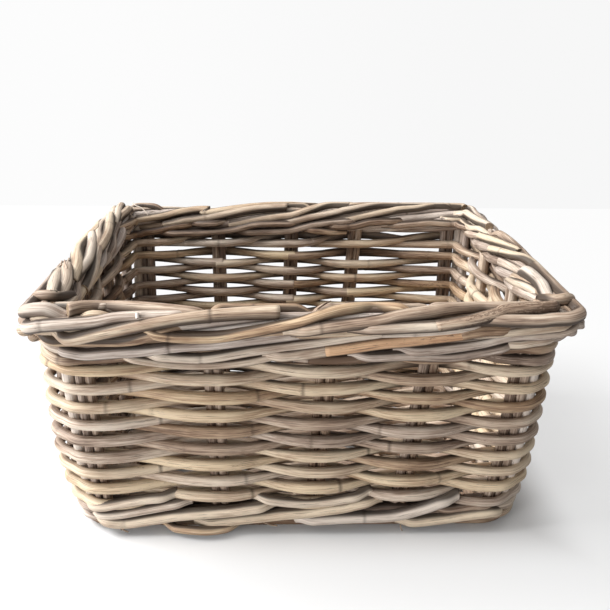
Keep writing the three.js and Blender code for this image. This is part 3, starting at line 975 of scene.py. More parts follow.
for row in range(1, ROWS + 1):
    name = f"weaver_row_{row:02d}"
    rng = draws("rows", row)
    middle = box_in_mm(name)[:, 2].mean()
    ends = row_ends(row, middle, rng)
    rods = []
    for first, last in zip(ends, ends[1:] + [ends[0] + 4]):
        way = np.arange(first - OVERLAP, last + OVERLAP, ROD_STEP_WAY)
        out = weave(way, row, middle)
        z = middle + ROW_WANDER * wander(rng, len(way), ROW_WAVES * (last - first))
        # painted window light lightens the row's tone, and there the row keeps less dirt and painted
        # shade
        shade_kept = 1 - LIGHT_LIFTS_SHADE * np.clip(painted_window_light(way), 0, WINDOW_LIGHT_TONE)
        rods.append(
            rod(
                wall_point(way, WEAVE_OUT * out + spring(way, row, middle), z),
                rng.uniform(*ROW_THICK) * girth(way) * (1 - ROW_NIP * (1 - abs(out))),
                rng,
                tone=rng.uniform(*ROW_TONE) + painted_window_light(way),
                warmth=rng.uniform(*ROW_WARMTH),
                bark=rng.uniform(0, MOST_BARK) + MORE_BARK * (rng.random() < BARK_CHANCE),
                darkened_sides=pressed(out) * shade_kept[:, None],
            )
        )
    piece(name, rods)
print("rows done")

# %% [markdown]
# The two bands are twisted from three rods. Each passes outside two stations, rising from the lower
# place to the upper one, and then inside one, where it comes down again. The front of both bands is
# laid one by one further down, so their own rods lie deeper and darker there. Each band has a list of
# the ways from which and to which a rod runs, and in the lower band every course starts later.

# %% Bands
WALE_STEP = 4.8
HIDDEN_SINK = 4
HIDDEN_SHADE = 0.4
WALE_PHASES = {0: (-1, 0), 1: (1, -1), 2: (1, 1)}
BAND_ENDS = {
    "lower_wale": [(2.4, 3.85), (3.85, 5.0), (5.0, 6.4)],
    "upper_wale": [(0.5, 2.45), (2.45, 4.5)],
}
BAND_SHIFT = {"lower_wale": 0.2, "upper_wale": 0}
BAND_THICK = (8.0, 8.8)
BAND_LOOK = ((0.4, 0.8), (0.2, 0.8), (0, 0.4))
BAND_WANDER = 0.5
SOFT_STEP = 0.05


def band(way, turn, z):
    """How far a band's rod lies outside and above the band's middle, both from -1 to 1."""
    places = np.array([WALE_PHASES[(index + turn + 2) % 3] for index in range(COUNT)], float)
    knots = knots_at(z).ravel()
    return [eased(way, knots, np.repeat(column, 2)) for column in places.T]


def in_front(way):
    """1 on the front wall, 0 elsewhere, with a soft step at its corners."""
    return np.clip((0.5 - abs((way + 1.5) % 4 - 2)) / SOFT_STEP, 0, 1)


def band_rods(name, turn):
    """The rods that follow each other on one of a band's three courses."""
    rng = draws("bands", len(name), ord(name[0]), turn)
    middle = box_in_mm(f"{name}_rod_1")[:, 2].mean()
    rods = []
    for first, last in BAND_ENDS[name]:
        shift = BAND_SHIFT[name] * turn
        way = np.arange(first + shift - OVERLAP, last + shift + OVERLAP, ROD_STEP_WAY)
        out, lift = band(way, turn, middle)
        z = middle + WALE_STEP * lift + BAND_WANDER * wander(rng, len(way), 4)
        hidden = in_front(way)
        path = wall_point(way, WEAVE_OUT * out - HIDDEN_SINK * hidden, z)
        # painted shade: where the front strands cover them, the band's own rods are darker in tone and
        # darkened more
        darkened_sides = pressed(out, hidden)
        tone, warmth, bark = [rng.uniform(*span) for span in BAND_LOOK]
        tone = tone - HIDDEN_SHADE * hidden
        rods.append(rod(path, rng.uniform(*BAND_THICK), rng, tone, warmth, bark, darkened_sides=darkened_sides))
    return rods


lower_rods = [band_rods("lower_wale", turn) for turn in range(3)]
upper_rods = [band_rods("upper_wale", turn) for turn in range(3)]
print("rods in the bands:", sum(len(rods) for rods in lower_rods + upper_rods))

# %% [markdown]
# The rim is a rope. Each of its rods starts low on the outside, climbs over the top as it goes
# round the basket, and dives inside, and its cut end is left to show. A place in the rope is an
# angle: 0 is outside, 90 on top, 180 inside. Its corners are sharper than the wall's.

# %% The rope
ROPE_RADIUS = 11.5
ROPE_RODS = 8
ROPE_CORE = 13
CORE_ASIDE = 0.01
CORE_STEP_WAY = 0.01
LAY = 360
BEND_SHARE = 0.55
BEND_LEAST = 4.0


def rope_point(way, angle, radius):
    """A point in the rope: radius away from its middle line, in the direction of the angle."""
    turned = np.radians(angle)
    out = RIM_OUT + radius * np.cos(turned)
    z = RIM_MIDDLE + radius * np.sin(turned)
    bend = BEND_LEAST + BEND_SHARE * (out - RIM_OUT + ROPE_RADIUS)
    return wall_point(way, out, z, bend)


def inward_dirt_and_shade(angle, beside):
    """Dirt and painted shade on the side of a rope's rod that faces the middle of the rope, and on the
    two sides that face its neighbours."""
    turned, beside = np.radians(angle), np.cbrt(beside)
    columns = np.cos(turned), -np.sin(turned), beside * np.sin(turned), beside * np.cos(turned)
    return np.stack(columns, -1)


# %% [markdown]
# The strands that the eye meets are laid one by one, because their crossings and cut ends make this
# basket what it is. Each is given by a few points in the picture. The picture shows a point of the
# rope as a pixel, so the way back is a search: of all places on the rope that face the camera, the
# one that appears nearest to the pixel. The strand then runs over the real rope, at its real size.

# %% From the picture to the rope
WAYS = np.arange(0, 4, 0.003)
NEARNESS = 0.06
LINE_STEP = 0.1


def in_picture(points):
    """Where points appear in the picture, in pixels from its top left corner."""
    away = points - CAMERA_PLACE
    depth = away @ forward
    across = PICTURE_PIXELS / 2 + LENS_PIXELS * (away @ picture_x) / depth
    down = PICTURE_PIXELS / 2 - LENS_PIXELS * (away @ picture_y) / depth
    return np.stack([across, down], -1)


def field(low, high, step):
    """A fine grid of places: every way round the basket, with every angle or height."""
    return np.meshgrid(WAYS, np.arange(low, high, step), indexing="ij")


def on_wall(way, z, reach):
    return wall_point(way, reach, z)


def on_inside(way, z, reach):
    return wall_point(way, -reach, z)


# the last number of each surface is how much dirt and painted shade darkens a strand laid on it
SURFACES = {
    "rope": {"at": rope_point, "field": field(-100, 216, 3), "reach": ROPE_RADIUS, "dirt_with_shade": 1.6},
    "wall": {"at": on_wall, "field": field(150, 200, 0.6), "reach": WEAVE_OUT, "dirt_with_shade": 1.1},
    "inside": {"at": on_inside, "field": field(150, 200, 0.6), "reach": WEAVE_OUT, "dirt_with_shade": 1.1},
    "foot": {"at": on_wall, "field": field(4, 48, 0.6), "reach": WEAVE_OUT, "dirt_with_shade": 0.65},
}


@lru_cache(maxsize=4)
def seen(surface, reach):
    """The points of a surface, where they appear, and how far each is hidden: none or endlessly."""
    at, places = SURFACES[surface]["at"], SURFACES[surface]["field"]
    points = at(*places, reach)
    outward = at(*places, reach + 1.0) - points
    faces_camera = np.einsum("ijk,ijk->ij", outward, CAMERA_PLACE - points) > 0
    return points, in_picture(points), np.where(faces_camera, 0, np.inf)


def places_shown(course, surface, reaches):
    """The ways and seconds, which are angles or heights, that the course's pixels show. Where two
    places fit a pixel alike, the one nearer to the last place is taken."""
    ways, seconds = SURFACES[surface]["field"]
    found, last = [], None
    for pixel, reach in zip(course, reaches):
        points, shown, hidden = seen(surface, float(reach))
        away = np.linalg.norm(shown - pixel, axis=-1) + hidden
        if last is not None:
            away = away + NEARNESS * np.linalg.norm(points - last, axis=-1) / MM
        best = np.unravel_index(away.argmin(), away.shape)
        found.append([ways[best], seconds[best]])
        last = points[best]
    way, second = np.array(found).T
    return np.unwrap(way, period=4), second


def through(points, step):
    """A smooth line through points: each stretch is a cubic with the slopes of its neighbours."""
    points = np.asarray(points, float)
    slope = np.gradient(points, axis=0)
    at = np.arange(0, len(points) - 1 + step / 2, step)
    slot = np.clip(at.astype(int), 0, len(points) - 2)
    share = (at - slot)[:, None]
    return (
        points[slot] * (2 * share**3 - 3 * share**2 + 1)
        + slope[slot] * (share**3 - 2 * share**2 + share)
        + points[slot + 1] * (3 * share**2 - 2 * share**3)
        + slope[slot + 1] * (share**3 - share**2)
    )


# %% [markdown]
# A strand ends in one of three ways. "cut" shows its end. "under" sinks below its neighbours. A
# number is an angle: the strand goes on round the rope, at the rope's usual lay, up to that angle.
# Strands on top of the rope get less dirt and painted shade than those at its sides, most of all on
# the front. Where a strand sinks under its neighbours, painted shade darkens it.

# %% Laying a strand
SUNK = ("under", "under")
CUT = ("cut", "cut")
STRAND_SHARE = 0.95
STRAND_SLANT = 0.25
SINK = 6.5
SINK_LENGTH = 16
SINK_SHADE = 0.5
THIN = 3.0


def laid(course, ends, thick, lift, look, surface, seed, lift_on_top=0.0):
    """A rod through the course's pixels on a surface. Its lift is one number, or one for each pixel,
    and its look is tone, warmth and bark."""
    rng = draws("strands", seed)
    reach = SURFACES[surface]["reach"] + np.broadcast_to(np.asarray(lift, float), len(course))
    way, second = places_shown(course, surface, reach)
    line = np.stack([way, second, reach], -1)
    if not isinstance(ends[0], str):
        line = np.concatenate([[(way[0] - (second[0] - ends[0]) / LAY, ends[0], reach[0])], line])
    if not isinstance(ends[1], str):
        line = np.concatenate([line, [(way[-1] + (ends[1] - second[-1]) / LAY, ends[1], reach[-1])]])
    way, second, reach = through(line, LINE_STEP).T
    at = SURFACES[surface]["at"]
    steps = np.linalg.norm(np.diff(at(way, second, reach), axis=0), axis=1) / MM
    reached = np.concatenate([[0], np.cumsum(steps)])
    depth = np.zeros(len(reached))
    for end, away in zip(ends, (reached, reached[-1] - reached)):
        if end == "under":
            depth += SINK * (1 + np.cos(np.clip(away / SINK_LENGTH, 0, 1) * np.pi)) / 2
    # dirt and painted shade, more where the strand sinks under its neighbours
    beside = (SURFACES[surface]["dirt_with_shade"] + SINK_SHADE * depth / SINK) * (thick > THIN)
    if surface == "rope":
        # less dirt and painted shade on top of the rope, where the light falls
        on_top = np.clip(np.sin(np.radians(second)), 0, 1) ** 3
        darkened_sides = inward_dirt_and_shade(second, beside * (1 - lift_on_top * on_top))
    else:
        facing = -1 if surface == "inside" else 1
        darkened_sides = pressed(facing * (1 - depth / SINK), beside)
    darkened_sides[:, [0, 2]] *= np.sign(way[-1] - way[0])
    path = at(way, second, reach - depth)
    return rod(path, STRAND_SHARE * thick, rng, *look, slant=STRAND_SLANT, darkened_sides=darkened_sides)


# %% [markdown]
# Each strand of the rope is given by its pixels, its two ends, its thickness, how far it is lifted
# off the rope, and its look.

# %% The strands of the rope
STRANDS = {
    "front": [
        ([(71, 260), (57, 274), (46, 286.5), (28, 298), (20, 306), (24, 310.5), (43, 310), (68, 310)],
         SUNK, 11.0, 0.0, (0.6, 0.1, 0.2)),
        ([(35, 297), (47, 295), (60, 297), (72, 299.5), (88, 299.8), (105, 300.3), (125, 302)],
         ("cut", "under"), 8.2, 1.4, (0.8, 0.3, 0.1)),
        ([(68, 310), (85, 307), (106, 306), (144, 308), (182, 311.5), (201, 314), (215, 317)],
         ("cut", "under"), 9.6, 1.6, (0.5, 0.4, 0.4)),
        ([(70, 316), (95, 315), (120, 316)], SUNK, 7.0, -1.5, (0.7, 0.6, 0.1)),
        ([(18, 322), (22, 327), (48, 325.6), (77, 323.7), (96, 321.7), (117, 319), (144, 317),
          (173, 316), (200, 316)],
         SUNK, 9.8, 0.8, (0.74, 0.1, 0.35)),
        ([(50, 335), (58, 339), (67, 339.5), (96, 334.5), (125, 328.5), (163, 321.7), (201, 317),
          (240, 314), (278, 312.5)],
         ("under", "cut"), 10.0, 2.2, (0.7, 0.5, 0.15)),
        ([(135, 329), (148, 333), (174, 336.5), (215, 336.5), (249, 332), (278, 327), (300, 322.5),
          (320, 316), (349, 309.5), (373, 308), (400, 309), (420, 312)],
         SUNK, 9.2, 1.2, (0.68, 1.0, 0.1)),
        ([(205, 316), (212, 311), (222, 307), (249, 302.6), (278, 300.7), (300, 303), (316, 309)],
         SUNK, 9.0, 0.0, (0.45, 0.7, 0.6)),
        ([(282, 314), (297, 313.5), (310, 313)], SUNK, 7.0, -1.5, (0.3, 0.5, 0.8)),
        ([(314, 313), (320, 306), (330, 301.4), (346, 298.6), (379, 298.4), (411, 300.4), (429, 305),
          (440, 311)],
         SUNK, 9.4, 0.2, (0.6, 0.35, 0.1)),
        ([(285, 333), (304, 331), (324, 328.1), (349, 325.1), (379, 321.2), (399, 316.5), (428, 312.3),
          (478, 305.4), (513, 301), (535, 300)],
         SUNK, 9.8, 1.6, (0.66, 0.4, 0.1)),
        ([(428, 312), (431, 306), (437, 301), (450, 297.6), (478, 297.4), (510, 298.4), (530, 301)],
         SUNK, 9.0, 1.5, (0.7, 0.25, 0.1)),
        ([(350, 329), (371, 329), (399, 328), (438, 326)], ("under", "cut"), 9.3, 1.9, (0.8, 0.3, 0.1)),
        ([(438, 326), (468, 321.2), (498, 314.5), (520, 309.5), (540, 305), (558, 300.5), (573, 297)],
         CUT, 9.6, 2.0, (0.66, 0.45, 0.88)),
        ([(475, 317), (498, 320), (520, 320.5), (540, 320.5), (560, 319.5), (576, 316), (584, 309),
          (582, 300), (574, 289), (564, 279), (547, 262), (523, 249), (505, 239), (492, 231)],
         SUNK, 10.4, 0.6, (0.75, 0.35, 0.1)),
        ([(33, 338), (42, 343), (60, 345.7), (96, 344.7), (125, 340), (155, 334), (180, 329)],
         SUNK, 9.6, 0.2, (0.55, 0.7, 0.2)),
        ([(440, 314), (480, 313), (520, 306)], SUNK, 7.0, -3.0, (0.2, 0.5, 0.4)),
    ],
    "left": [
        ([(52.5, 292), (54, 285), (57, 271), (60.5, 264)], (-60, "under"), 10.4, 0.8, (0.72, 0.3, 0.1)),
        ([(65.5, 293), (66, 285), (67, 274), (67.3, 267)],
         ("under", "cut"), 10.4, 1.0, (0.75, 0.3, 0.1)),
        ([(76, 276), (77, 262), (79, 251), (83, 241), (88.5, 231), (94, 225)],
         ("under", -60), 11.6, 1.0, (0.66, 0.55, 0.1)),
        ([(76, 275), (82, 268), (87.5, 260), (91, 250), (92.3, 242), (92.6, 236)],
         ("under", "cut"), 10.4, 1.0, (0.82, 0.2, 0.05)),
        ([(98.5, 242), (98.5, 233), (100.5, 224), (105, 215), (112, 210)],
         (200, -60), 9.2, 0.5, (0.68, 0.3, 0.1)),
        ([(96, 253), (102, 245), (107, 235), (109.5, 225), (110.5, 215)],
         ("under", "cut"), 10.4, 1.2, (0.72, 0.5, 0.1)),
        ([(116.5, 219), (118.5, 211), (121, 204)], ("under", "cut"), 9.0, 1.5, (0.7, 0.3, 0.2)),
        ([(117, 218), (127, 211), (137, 206)], SUNK, 9.4, 1.0, (0.6, 0.4, 0.1)),
    ],
    "back": [
        ([(123, 229), (134, 222.5), (156, 216.8), (177, 213), (195, 210.2), (210, 209.6), (222, 211)],
         ("under", -60), 9.6, 0.8, (0.55, 0.65, 0.2)),
        ([(174, 222), (184, 220.3), (201, 218.3), (219, 215.3), (238, 211.8), (261, 208.8),
          (287, 207.5)],
         (200, "cut"), 9.4, 1.2, (0.6, 0.45, 0.1)),
        ([(258, 204), (285, 204.5), (303, 205), (316, 208)], SUNK, 8.2, 0.0, (0.5, 0.5, 0.3)),
        ([(243, 222), (258, 219.6), (276, 217.3), (291, 215), (303, 211.8), (315, 208.5), (332, 204),
          (350, 202.3), (368, 202.5)],
         (200, -60), 9.0, 1.0, (0.58, 0.5, 0.2)),
        ([(333, 213), (343, 211), (357, 208.8), (381, 205), (405, 202), (423, 200.8), (442, 202),
          (458, 204)],
         (200, "under"), 9.0, 1.0, (0.62, 0.35, 0.1)),
        ([(383, 213), (399, 210), (417, 208.2), (436, 206.5), (453, 205.6), (464, 208)],
         (200, "cut"), 8.6, 0.8, (0.6, 0.5, 0.1)),
        ([(124, 203.5), (140, 204.8), (168, 208)], SUNK, 7.5, -0.5, (0.35, 0.4, 0.3)),
        ([(430, 201), (450, 203), (466, 207), (476, 214), (484, 222), (492, 230)],
         SUNK, 7.5, -0.2, (0.7, 0.2, 0.1)),
    ],
    "right": [
        ([(452, 211.5), (462, 214), (474, 219), (489, 227)],
         ("under", "cut"), 9.6, 1.2, (0.75, 0.35, 0.15)),
        ([(439, 215), (452, 220), (468, 226.5), (486, 231)], SUNK, 8.6, 0.5, (0.72, 0.45, 0.1)),
        ([(476, 234), (488, 239), (503, 245), (518, 252.5)],
         ("under", "cut"), 9.0, 0.8, (0.74, 0.6, 0.1)),
        ([(486, 247.5), (500, 251.5), (514, 256), (528, 261), (542, 270), (552, 280), (556, 287)],
         ("under", "cut"), 9.0, 1.2, (0.72, 0.55, 0.15)),
        ([(518, 268), (530, 275), (541, 285), (548, 295)], SUNK, 12.0, -1.0, (0.66, 0.1, 0.1)),
        ([(484, 265), (498, 272), (514, 281), (528, 288), (537, 294)],
         SUNK, 8.6, -1.0, (0.7, 0.35, 0.2)),
    ],
}

print("strands laid by hand:", sum(len(group) for group in STRANDS.values()))

# %% [markdown]
# A nail head shows at the left of the rim, and a few fibres have come loose. They are laid like
# strands, with both ends cut. Each has its pixels, thickness, lift and look. The nail head's very
# pale tone is a painted glint.

# %% Small things
SMALL_SEED = 200
SMALL_THINGS = [
    # nail head: its very pale tone is a painted glint
    ([(137.4, 313.4), (137.6, 317.6)], 2.6, 6.5, (1.6, 0.1, 0.0)),
    ([(132.7, 203.4), (139, 207), (147.5, 214.8)], 1.3, 6.0, (0.9, 0.3, 0.0)),
    ([(61, 265), (58.5, 257)], 1.2, 5.5, (0.7, 0.4, 0.0)),
    ([(66, 267), (69, 258)], 1.3, 5.5, (0.8, 0.4, 0.0)),
    ([(67, 268), (64.5, 260)], 1.0, 6.0, (0.6, 0.4, 0.0)),
    ([(318, 309), (325, 304), (331, 300)], 1.2, 6.0, (0.3, 0.5, 0.4)),
]
print("small things:", len(SMALL_THINGS))

# %% [markdown]
# Below the strands laid one by one, and where the camera doesn't see, the rope keeps its usual
# lay: eight rods that go round it four times on their way round the basket. They sink deeper where a
# listed strand covers them.

# %% Rim
COVERED_DEPTH = 5.4
COVERED_ENDS = (3.97, 1.1)
COVERED_ANGLES = (5, 185)
COVERED_FRONT = -95
LOWEST_ANGLE = -120
SOFT_ANGLE = 25
ROPE_SPREAD = 0.6
ROPE_OVERLAP = 0.02
ROPE_WANDER = 0.7
ROPE_THICK = (7.8, 9.0)
ROPE_LOOK = ((0.4, 0.8), (0, 0.8), (0, 0.6))
ROPE_SLANT = 0.3
ROPE_DIRT_AND_SHADE = 0.3
ADDED_WARMTH = 0.15
# painted light and shade on the rim's strands: paler on the left and right, a little on the back,
# darker on the front
PAINTED_LIGHT_TONE = {"front": -0.16, "left": 0.16, "back": 0.04, "right": 0.14}
TOP_SHADE_LIFT = {"front": 0.8, "left": 0.3, "back": 0.1, "right": 0.1}


def covered(way, angle):
    """1 where the listed strands cover the rope, 0 elsewhere, with soft edges. On the front they
    reach further down."""
    turned = (angle - LOWEST_ANGLE) % 360 + LOWEST_ANGLE
    front = (way % 4 > COVERED_ENDS[0]) | (way % 4 < COVERED_ENDS[1])
    above = turned - np.where(front, COVERED_FRONT, COVERED_ANGLES[0])
    below = COVERED_ANGLES[1] - turned
    return np.clip(above / SOFT_ANGLE, 0, 1) * np.clip(below / SOFT_ANGLE, 0, 1)


def rope_rods(number):
    """The lengths of rod that follow each other on one of the rope's eight courses."""
    rng = draws("rope", number)
    ends = np.sort(rng.uniform(0, 1, 4)) * ROPE_SPREAD + np.arange(4)
    rods = []
    for first, last in zip(ends, [*ends[1:], ends[0] + 4]):
        way = np.arange(first - ROPE_OVERLAP, last + ROPE_OVERLAP, ROD_STEP_WAY)
        angle = LAY * way + 360 * number / ROPE_RODS
        hidden = covered(way, angle)
        reach = ROPE_RADIUS + ROPE_WANDER * wander(rng, len(way), 6) - COVERED_DEPTH * hidden
        # dirt and painted shade, darker still where strands laid over the rope cover this rod
        darkened_sides = inward_dirt_and_shade(angle, ROPE_DIRT_AND_SHADE + hidden)
        tone, warmth, bark = [rng.uniform(*span) for span in ROPE_LOOK]
        path, thick = rope_point(way, angle, reach), rng.uniform(*ROPE_THICK)
        rods.append(rod(path, thick, rng, tone, warmth, bark, slant=ROPE_SLANT, darkened_sides=darkened_sides))
    return rods


rim_rods = [rope_rods(number) for number in range(ROPE_RODS)]
named_strands = [(side_name, *strand) for side_name, group in STRANDS.items() for strand in group]
for seed, (side_name, *strand, (tone, warmth, bark)) in enumerate(named_strands):
    look = (tone + PAINTED_LIGHT_TONE[side_name], warmth + ADDED_WARMTH, bark)
    strand = laid(*strand, look, "rope", seed, TOP_SHADE_LIFT[side_name])
    rim_rods[seed % ROPE_RODS].append(strand)
for number, (course, thick, lift, look) in enumerate(SMALL_THINGS):
    small = laid(course, CUT, thick, lift, look, "rope", SMALL_SEED + number)
    rim_rods[number].append(small)
for number, rods in enumerate(rim_rods, 1):
    piece(f"border_rod_{number}", rods)

core_way = np.arange(BACK_MIDDLE, BACK_MIDDLE + 4, CORE_STEP_WAY)
core_path = rope_point(core_way, 0, CORE_ASIDE)
core = rod(core_path, ROPE_CORE, draws("core"), tone=0.0)
piece("border_core", [core])
print("rim done")

# %% [markdown]
# The upper band is laid in the same way, one by one, on the front and on the inside of the back,
# on the wall instead of the rope.

# %% Upper band
UPPER_SEED = 40
UPPER_FRONT = [
    ([(52, 347), (63, 351.4), (86, 354.3), (117, 352.4), (144, 350.4), (182, 346.6), (220, 343.7),
      (259, 339), (310, 332.5), (345, 327)],
     SUNK, 9.4, 1.4, (0.62, 0.1, 0.15)),
    ([(140, 354), (159, 356), (191, 358), (215, 356.5), (249, 351), (278, 347), (323, 341.3),
      (350, 337), (375, 334), (400, 331)],
     SUNK, 9.4, 2.0, (0.72, 0.4, 0.1)),
    ([(115, 355), (134, 359), (178, 364.5), (215, 365), (249, 361), (278, 354), (295, 350)],
     SUNK, 7.6, 0.2, (0.6, 0.5, 0.2)),
    ([(262, 356), (285, 354.5), (310, 352), (327.5, 349.5)],
     ("under", "cut"), 11.2, 3.2, (0.68, 0.5, 0.1)),
    ([(327, 349.5), (350, 346.5), (380, 342.5), (410, 339.5), (440, 336), (463, 332.5)],
     CUT, 11.8, 3.5, (0.7, 2.0, 0.74)),
    ([(462, 332.7), (483, 329.4), (505, 325.6), (522, 323.5)],
     ("cut", "under"), 11.4, 3.4, (0.15, 0.9, 0.6)),
    ([(395, 351), (411, 350.8), (438, 348.9), (478, 342.9), (517, 335), (557, 329), (563, 326)],
     SUNK, 9.4, 1.4, (0.66, 0.2, 0.1)),
    ([(350, 357), (375, 356.8), (409, 355), (448, 356.8), (478, 352.8), (498, 348.9), (520, 344)],
     SUNK, 8.4, 0.6, (0.55, 0.2, 0.1)),
    ([(500, 349), (514, 345), (537, 340.5), (557, 334), (564, 330)], SUNK, 8.6, 0.8, (0.6, 0.5, 0.1)),
]

UPPER_BACK = [
    ([(118, 237), (131.7, 235.5), (153.5, 231.6), (175, 226.6), (200, 224)],
     SUNK, 8.2, 0.0, (0.2, 0.9, 0.1)),
    ([(160, 233), (185, 233), (207, 232.4), (231, 230), (255, 225), (276, 224), (300, 224)],
     SUNK, 8.2, 1.5, (0.25, 0.5, 0.2)),
    ([(235, 232), (267.5, 231.8), (290, 230), (314, 225), (341, 221.5), (360, 221)],
     SUNK, 8.4, 0.5, (0.35, 0.4, 0.2)),
    ([(322, 227), (350.6, 226.4), (369, 222.7), (387, 221.5), (405, 217)],
     SUNK, 8.2, 1.5, (0.3, 0.6, 0.2)),
    ([(382, 226), (411, 224), (429, 222.7), (453.6, 224), (470, 226)], SUNK, 8.2, 0.5, (0.4, 0.5, 0.2)),
    ([(190, 225), (210, 224), (228, 223.5)], SUNK, 7.5, 3.0, (0.35, 0.5, 0.3)),
    ([(300, 230), (318, 231), (345, 234)], SUNK, 7.5, 3.0, (0.4, 0.8, 0.3)),
]


def finish_band(name, courses, strands_on, seed):
    """Adds the listed strands to the band's three courses, and makes its three pieces."""
    for surface, strands in strands_on.items():
        for number, strand in enumerate(strands):
            courses[number % len(courses)].append(laid(*strand, surface, seed + number))
        seed += len(strands)
    for number, rods in enumerate(courses, 1):
        piece(f"{name}_rod_{number}", rods)


finish_band("upper_wale", upper_rods, {"wall": UPPER_FRONT, "inside": UPPER_BACK}, UPPER_SEED)
print("upper band done")

# %% [markdown]
# The front of the lower band, too, is laid one by one. Its lowest strand bulges out over the foot,
# and so its lift is given pixel by pixel. The last four are loose fibres.

# %% Lower band
LOWER_SEED = 56
LOWER_FRONT = [
    ([(84, 501), (92, 505.5), (104, 506), (120, 503.5), (145, 499.5), (165, 497.5), (178, 497)],
     SUNK, 9.6, 0.8, (0.85, 0.5, 0.1)),
    ([(88, 508), (98, 513.5), (110, 515), (125, 513), (150, 508.5), (175, 504.5), (192, 503.5)],
     SUNK, 9.0, 1.2, (0.8, 0.35, 0.15)),
    ([(93, 514), (104, 520), (118, 522.5), (132, 522), (150, 519), (175, 515.5), (200, 513),
      (230, 510.5), (252, 508), (276, 505)],
     SUNK, 11.0, 2.2, (0.95, 0.6, 0.1)),
    ([(194, 523), (215, 521.5), (240, 518.5), (262, 516), (285, 513.5), (305, 511.5), (325, 509),
      (345, 506), (367, 502), (382, 501)],
     SUNK, 11.0, 1.4, (0.9, 0.7, 0.1)),
    ([(252, 498.5), (272, 500.5), (290, 502.5), (310, 503), (330, 501), (350, 497.5), (372, 494.5)],
     SUNK, 9.6, 1.0, (0.78, 0.5, 0.2)),
    ([(296, 522), (310, 520), (330, 518), (350, 517), (375, 516.5), (393, 515.5), (408, 512),
      (425, 507), (442, 501.5), (460, 498)],
     SUNK, 11.4, 1.8, (0.95, 0.25, 0.1)),
    ([(430, 512), (455, 508), (480, 506), (500, 508)], SUNK, 8.0, -0.6, (0.4, 0.5, 0.3)),
    ([(396, 522), (415, 521), (430, 519.5), (448, 517), (465, 514.5), (482, 512.5), (494, 511.5),
      (503, 512)],
     SUNK, 10.6, 1.6, (0.9, 0.7, 0.3)),
    ([(162, 525), (178, 528.5), (195, 530.5), (210, 531), (226, 528.5), (243, 524)],
     SUNK, 8.0, [0, 6, 9, 9, 6, 0], (0.6, 0.9, 0.2)),
    ([(117, 524), (122, 529), (128, 532)], CUT, 1.3, 6.0, (0.5, 0.5, 0.2)),
    ([(119, 525), (121, 530)], CUT, 1.1, 6.5, (0.4, 0.5, 0.2)),
    ([(262, 521), (270, 524.5), (277, 525.5)], CUT, 1.3, 6.0, (0.5, 0.6, 0.2)),
    ([(400, 525), (401.5, 528.5), (402, 531)], CUT, 1.2, 6.0, (0.6, 0.5, 0.2)),
]

finish_band("lower_wale", lower_rods, {"foot": LOWER_FRONT}, LOWER_SEED)
print("lower band done")

# %% [markdown]
# The foot rod carries the basket. Inside it a cane frame holds the base, which is woven to and fro
# over five sticks. None of it shows from the front, but a basket is picked up and looked into.

# %% Foot and frame
FOOT_OUT = 0.5
FRAME_OUT = -9.8
FRAME_BEND = 20
SWELL_ROOM = 0.89
# painted shade: the foot rod's tone is low, as it lies in the shadow under the basket
FOOT_SHADED_LOOK = {"tone": 0.05, "warmth": 0.8, "bark": 0.5}
FRAME_LOOK = {"tone": 0.45, "warmth": 0.6, "bark": 0.3}


def loop(name, out, bend, rng, **look):
    """A rod that lies flat in a ring round the foot, at the height of its measured node. It is a
    little thinner than the node, which leaves room for its swells above the floor."""
    low, high = box_in_mm(name)[:, 2]
    way = np.arange(BACK_MIDDLE - OVERLAP, BACK_MIDDLE + 4 + OVERLAP, ROD_STEP_WAY)
    path = wall_point(way, out, np.full(len(way), (low + high) / 2), bend)
    return rod(path, SWELL_ROOM * (high - low), rng, **look)


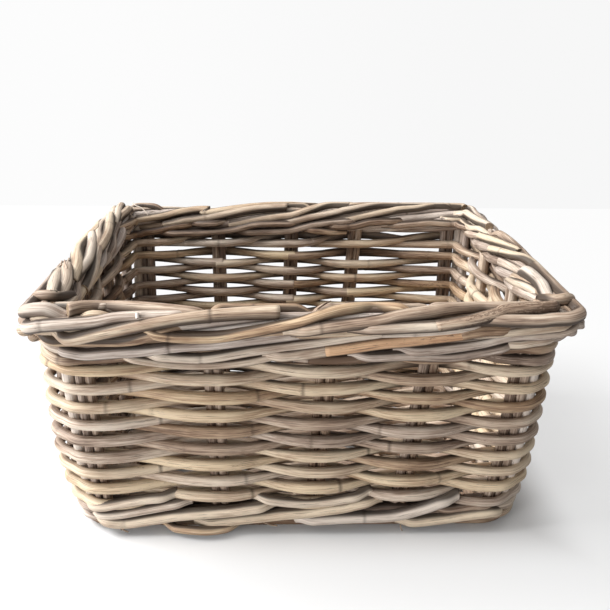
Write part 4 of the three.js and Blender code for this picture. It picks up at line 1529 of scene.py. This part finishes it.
foot = loop("foot_rod", FOOT_OUT, CORNER + FOOT_OUT, draws("foot"), **FOOT_SHADED_LOOK)
piece("foot_rod", [foot])
cane = loop("base_frame", FRAME_OUT, FRAME_BEND, draws("frame"), **FRAME_LOOK)
piece("base_frame", [cane])
print("foot and frame done")

# %% [markdown]
# The base's weaver runs to and fro along the basket. It passes over one stick and under the next,
# and each run does the opposite of the one before it. At the end of a run it turns back round the
# last stick. The path is a line of points: the passes over and under, and one point per turn.

# %% Base
STICKS = 5
RUN_PITCH = 8.73
BASE_ROD = 8
STICK_TONE = (0.3, 0.5)

stick_boxes = np.array([box_in_mm(f"base_stick_{number + 1}") for number in range(STICKS)])
stick_x = stick_boxes[:, :, 0].mean(1)
stick_low, stick_high = stick_boxes[0]
stick_size = stick_high[2] - stick_low[2]
stick_z = (stick_low[2] + stick_high[2]) / 2
for number in range(STICKS):
    rng = draws("sticks", number)
    path = [(stick_x[number], y, stick_z) for y in (stick_low[1], stick_high[1])]
    tone = rng.uniform(*STICK_TONE)
    stick = rod(np.array(path) * MM, stick_size, rng, tone, warmth=0.6)
    piece(f"base_stick_{number + 1}", [stick])

weaver_low, weaver_high = box_in_mm("base_weaver")
lift = (weaver_high[2] - weaver_low[2] - BASE_ROD) / 2
runs = round((weaver_high[1] - weaver_low[1] - BASE_ROD) / RUN_PITCH) + 1
pitch = (weaver_high[1] - weaver_low[1] - BASE_ROD) / (runs - 1)
turn_x = np.array([weaver_low[0] + BASE_ROD / 2, weaver_high[0] - BASE_ROD / 2])
points = []
for run in range(runs):
    y = weaver_low[1] + BASE_ROD / 2 + run * pitch
    signs = np.where((np.arange(STICKS) + run) % 2, 1, -1)
    passes = np.stack([stick_x, np.full(STICKS, y), stick_z + lift * signs], -1)
    ahead = run % 2 == 0
    points += passes.tolist() if ahead else passes[::-1].tolist()
    if run < runs - 1:
        points.append([turn_x[1 if ahead else 0], y + pitch / 2, stick_z])
weaver_path = through(points, LINE_STEP) * MM
weaver = rod(weaver_path, BASE_ROD, draws("weaver"), tone=0.5, warmth=0.5, bark=0.3)
piece("base_weaver", [weaver])
print("base done,", runs, "runs")

# %% [markdown]
# Last, the view layer is brought up to date.

# %% Finish
bpy.context.view_layer.update()
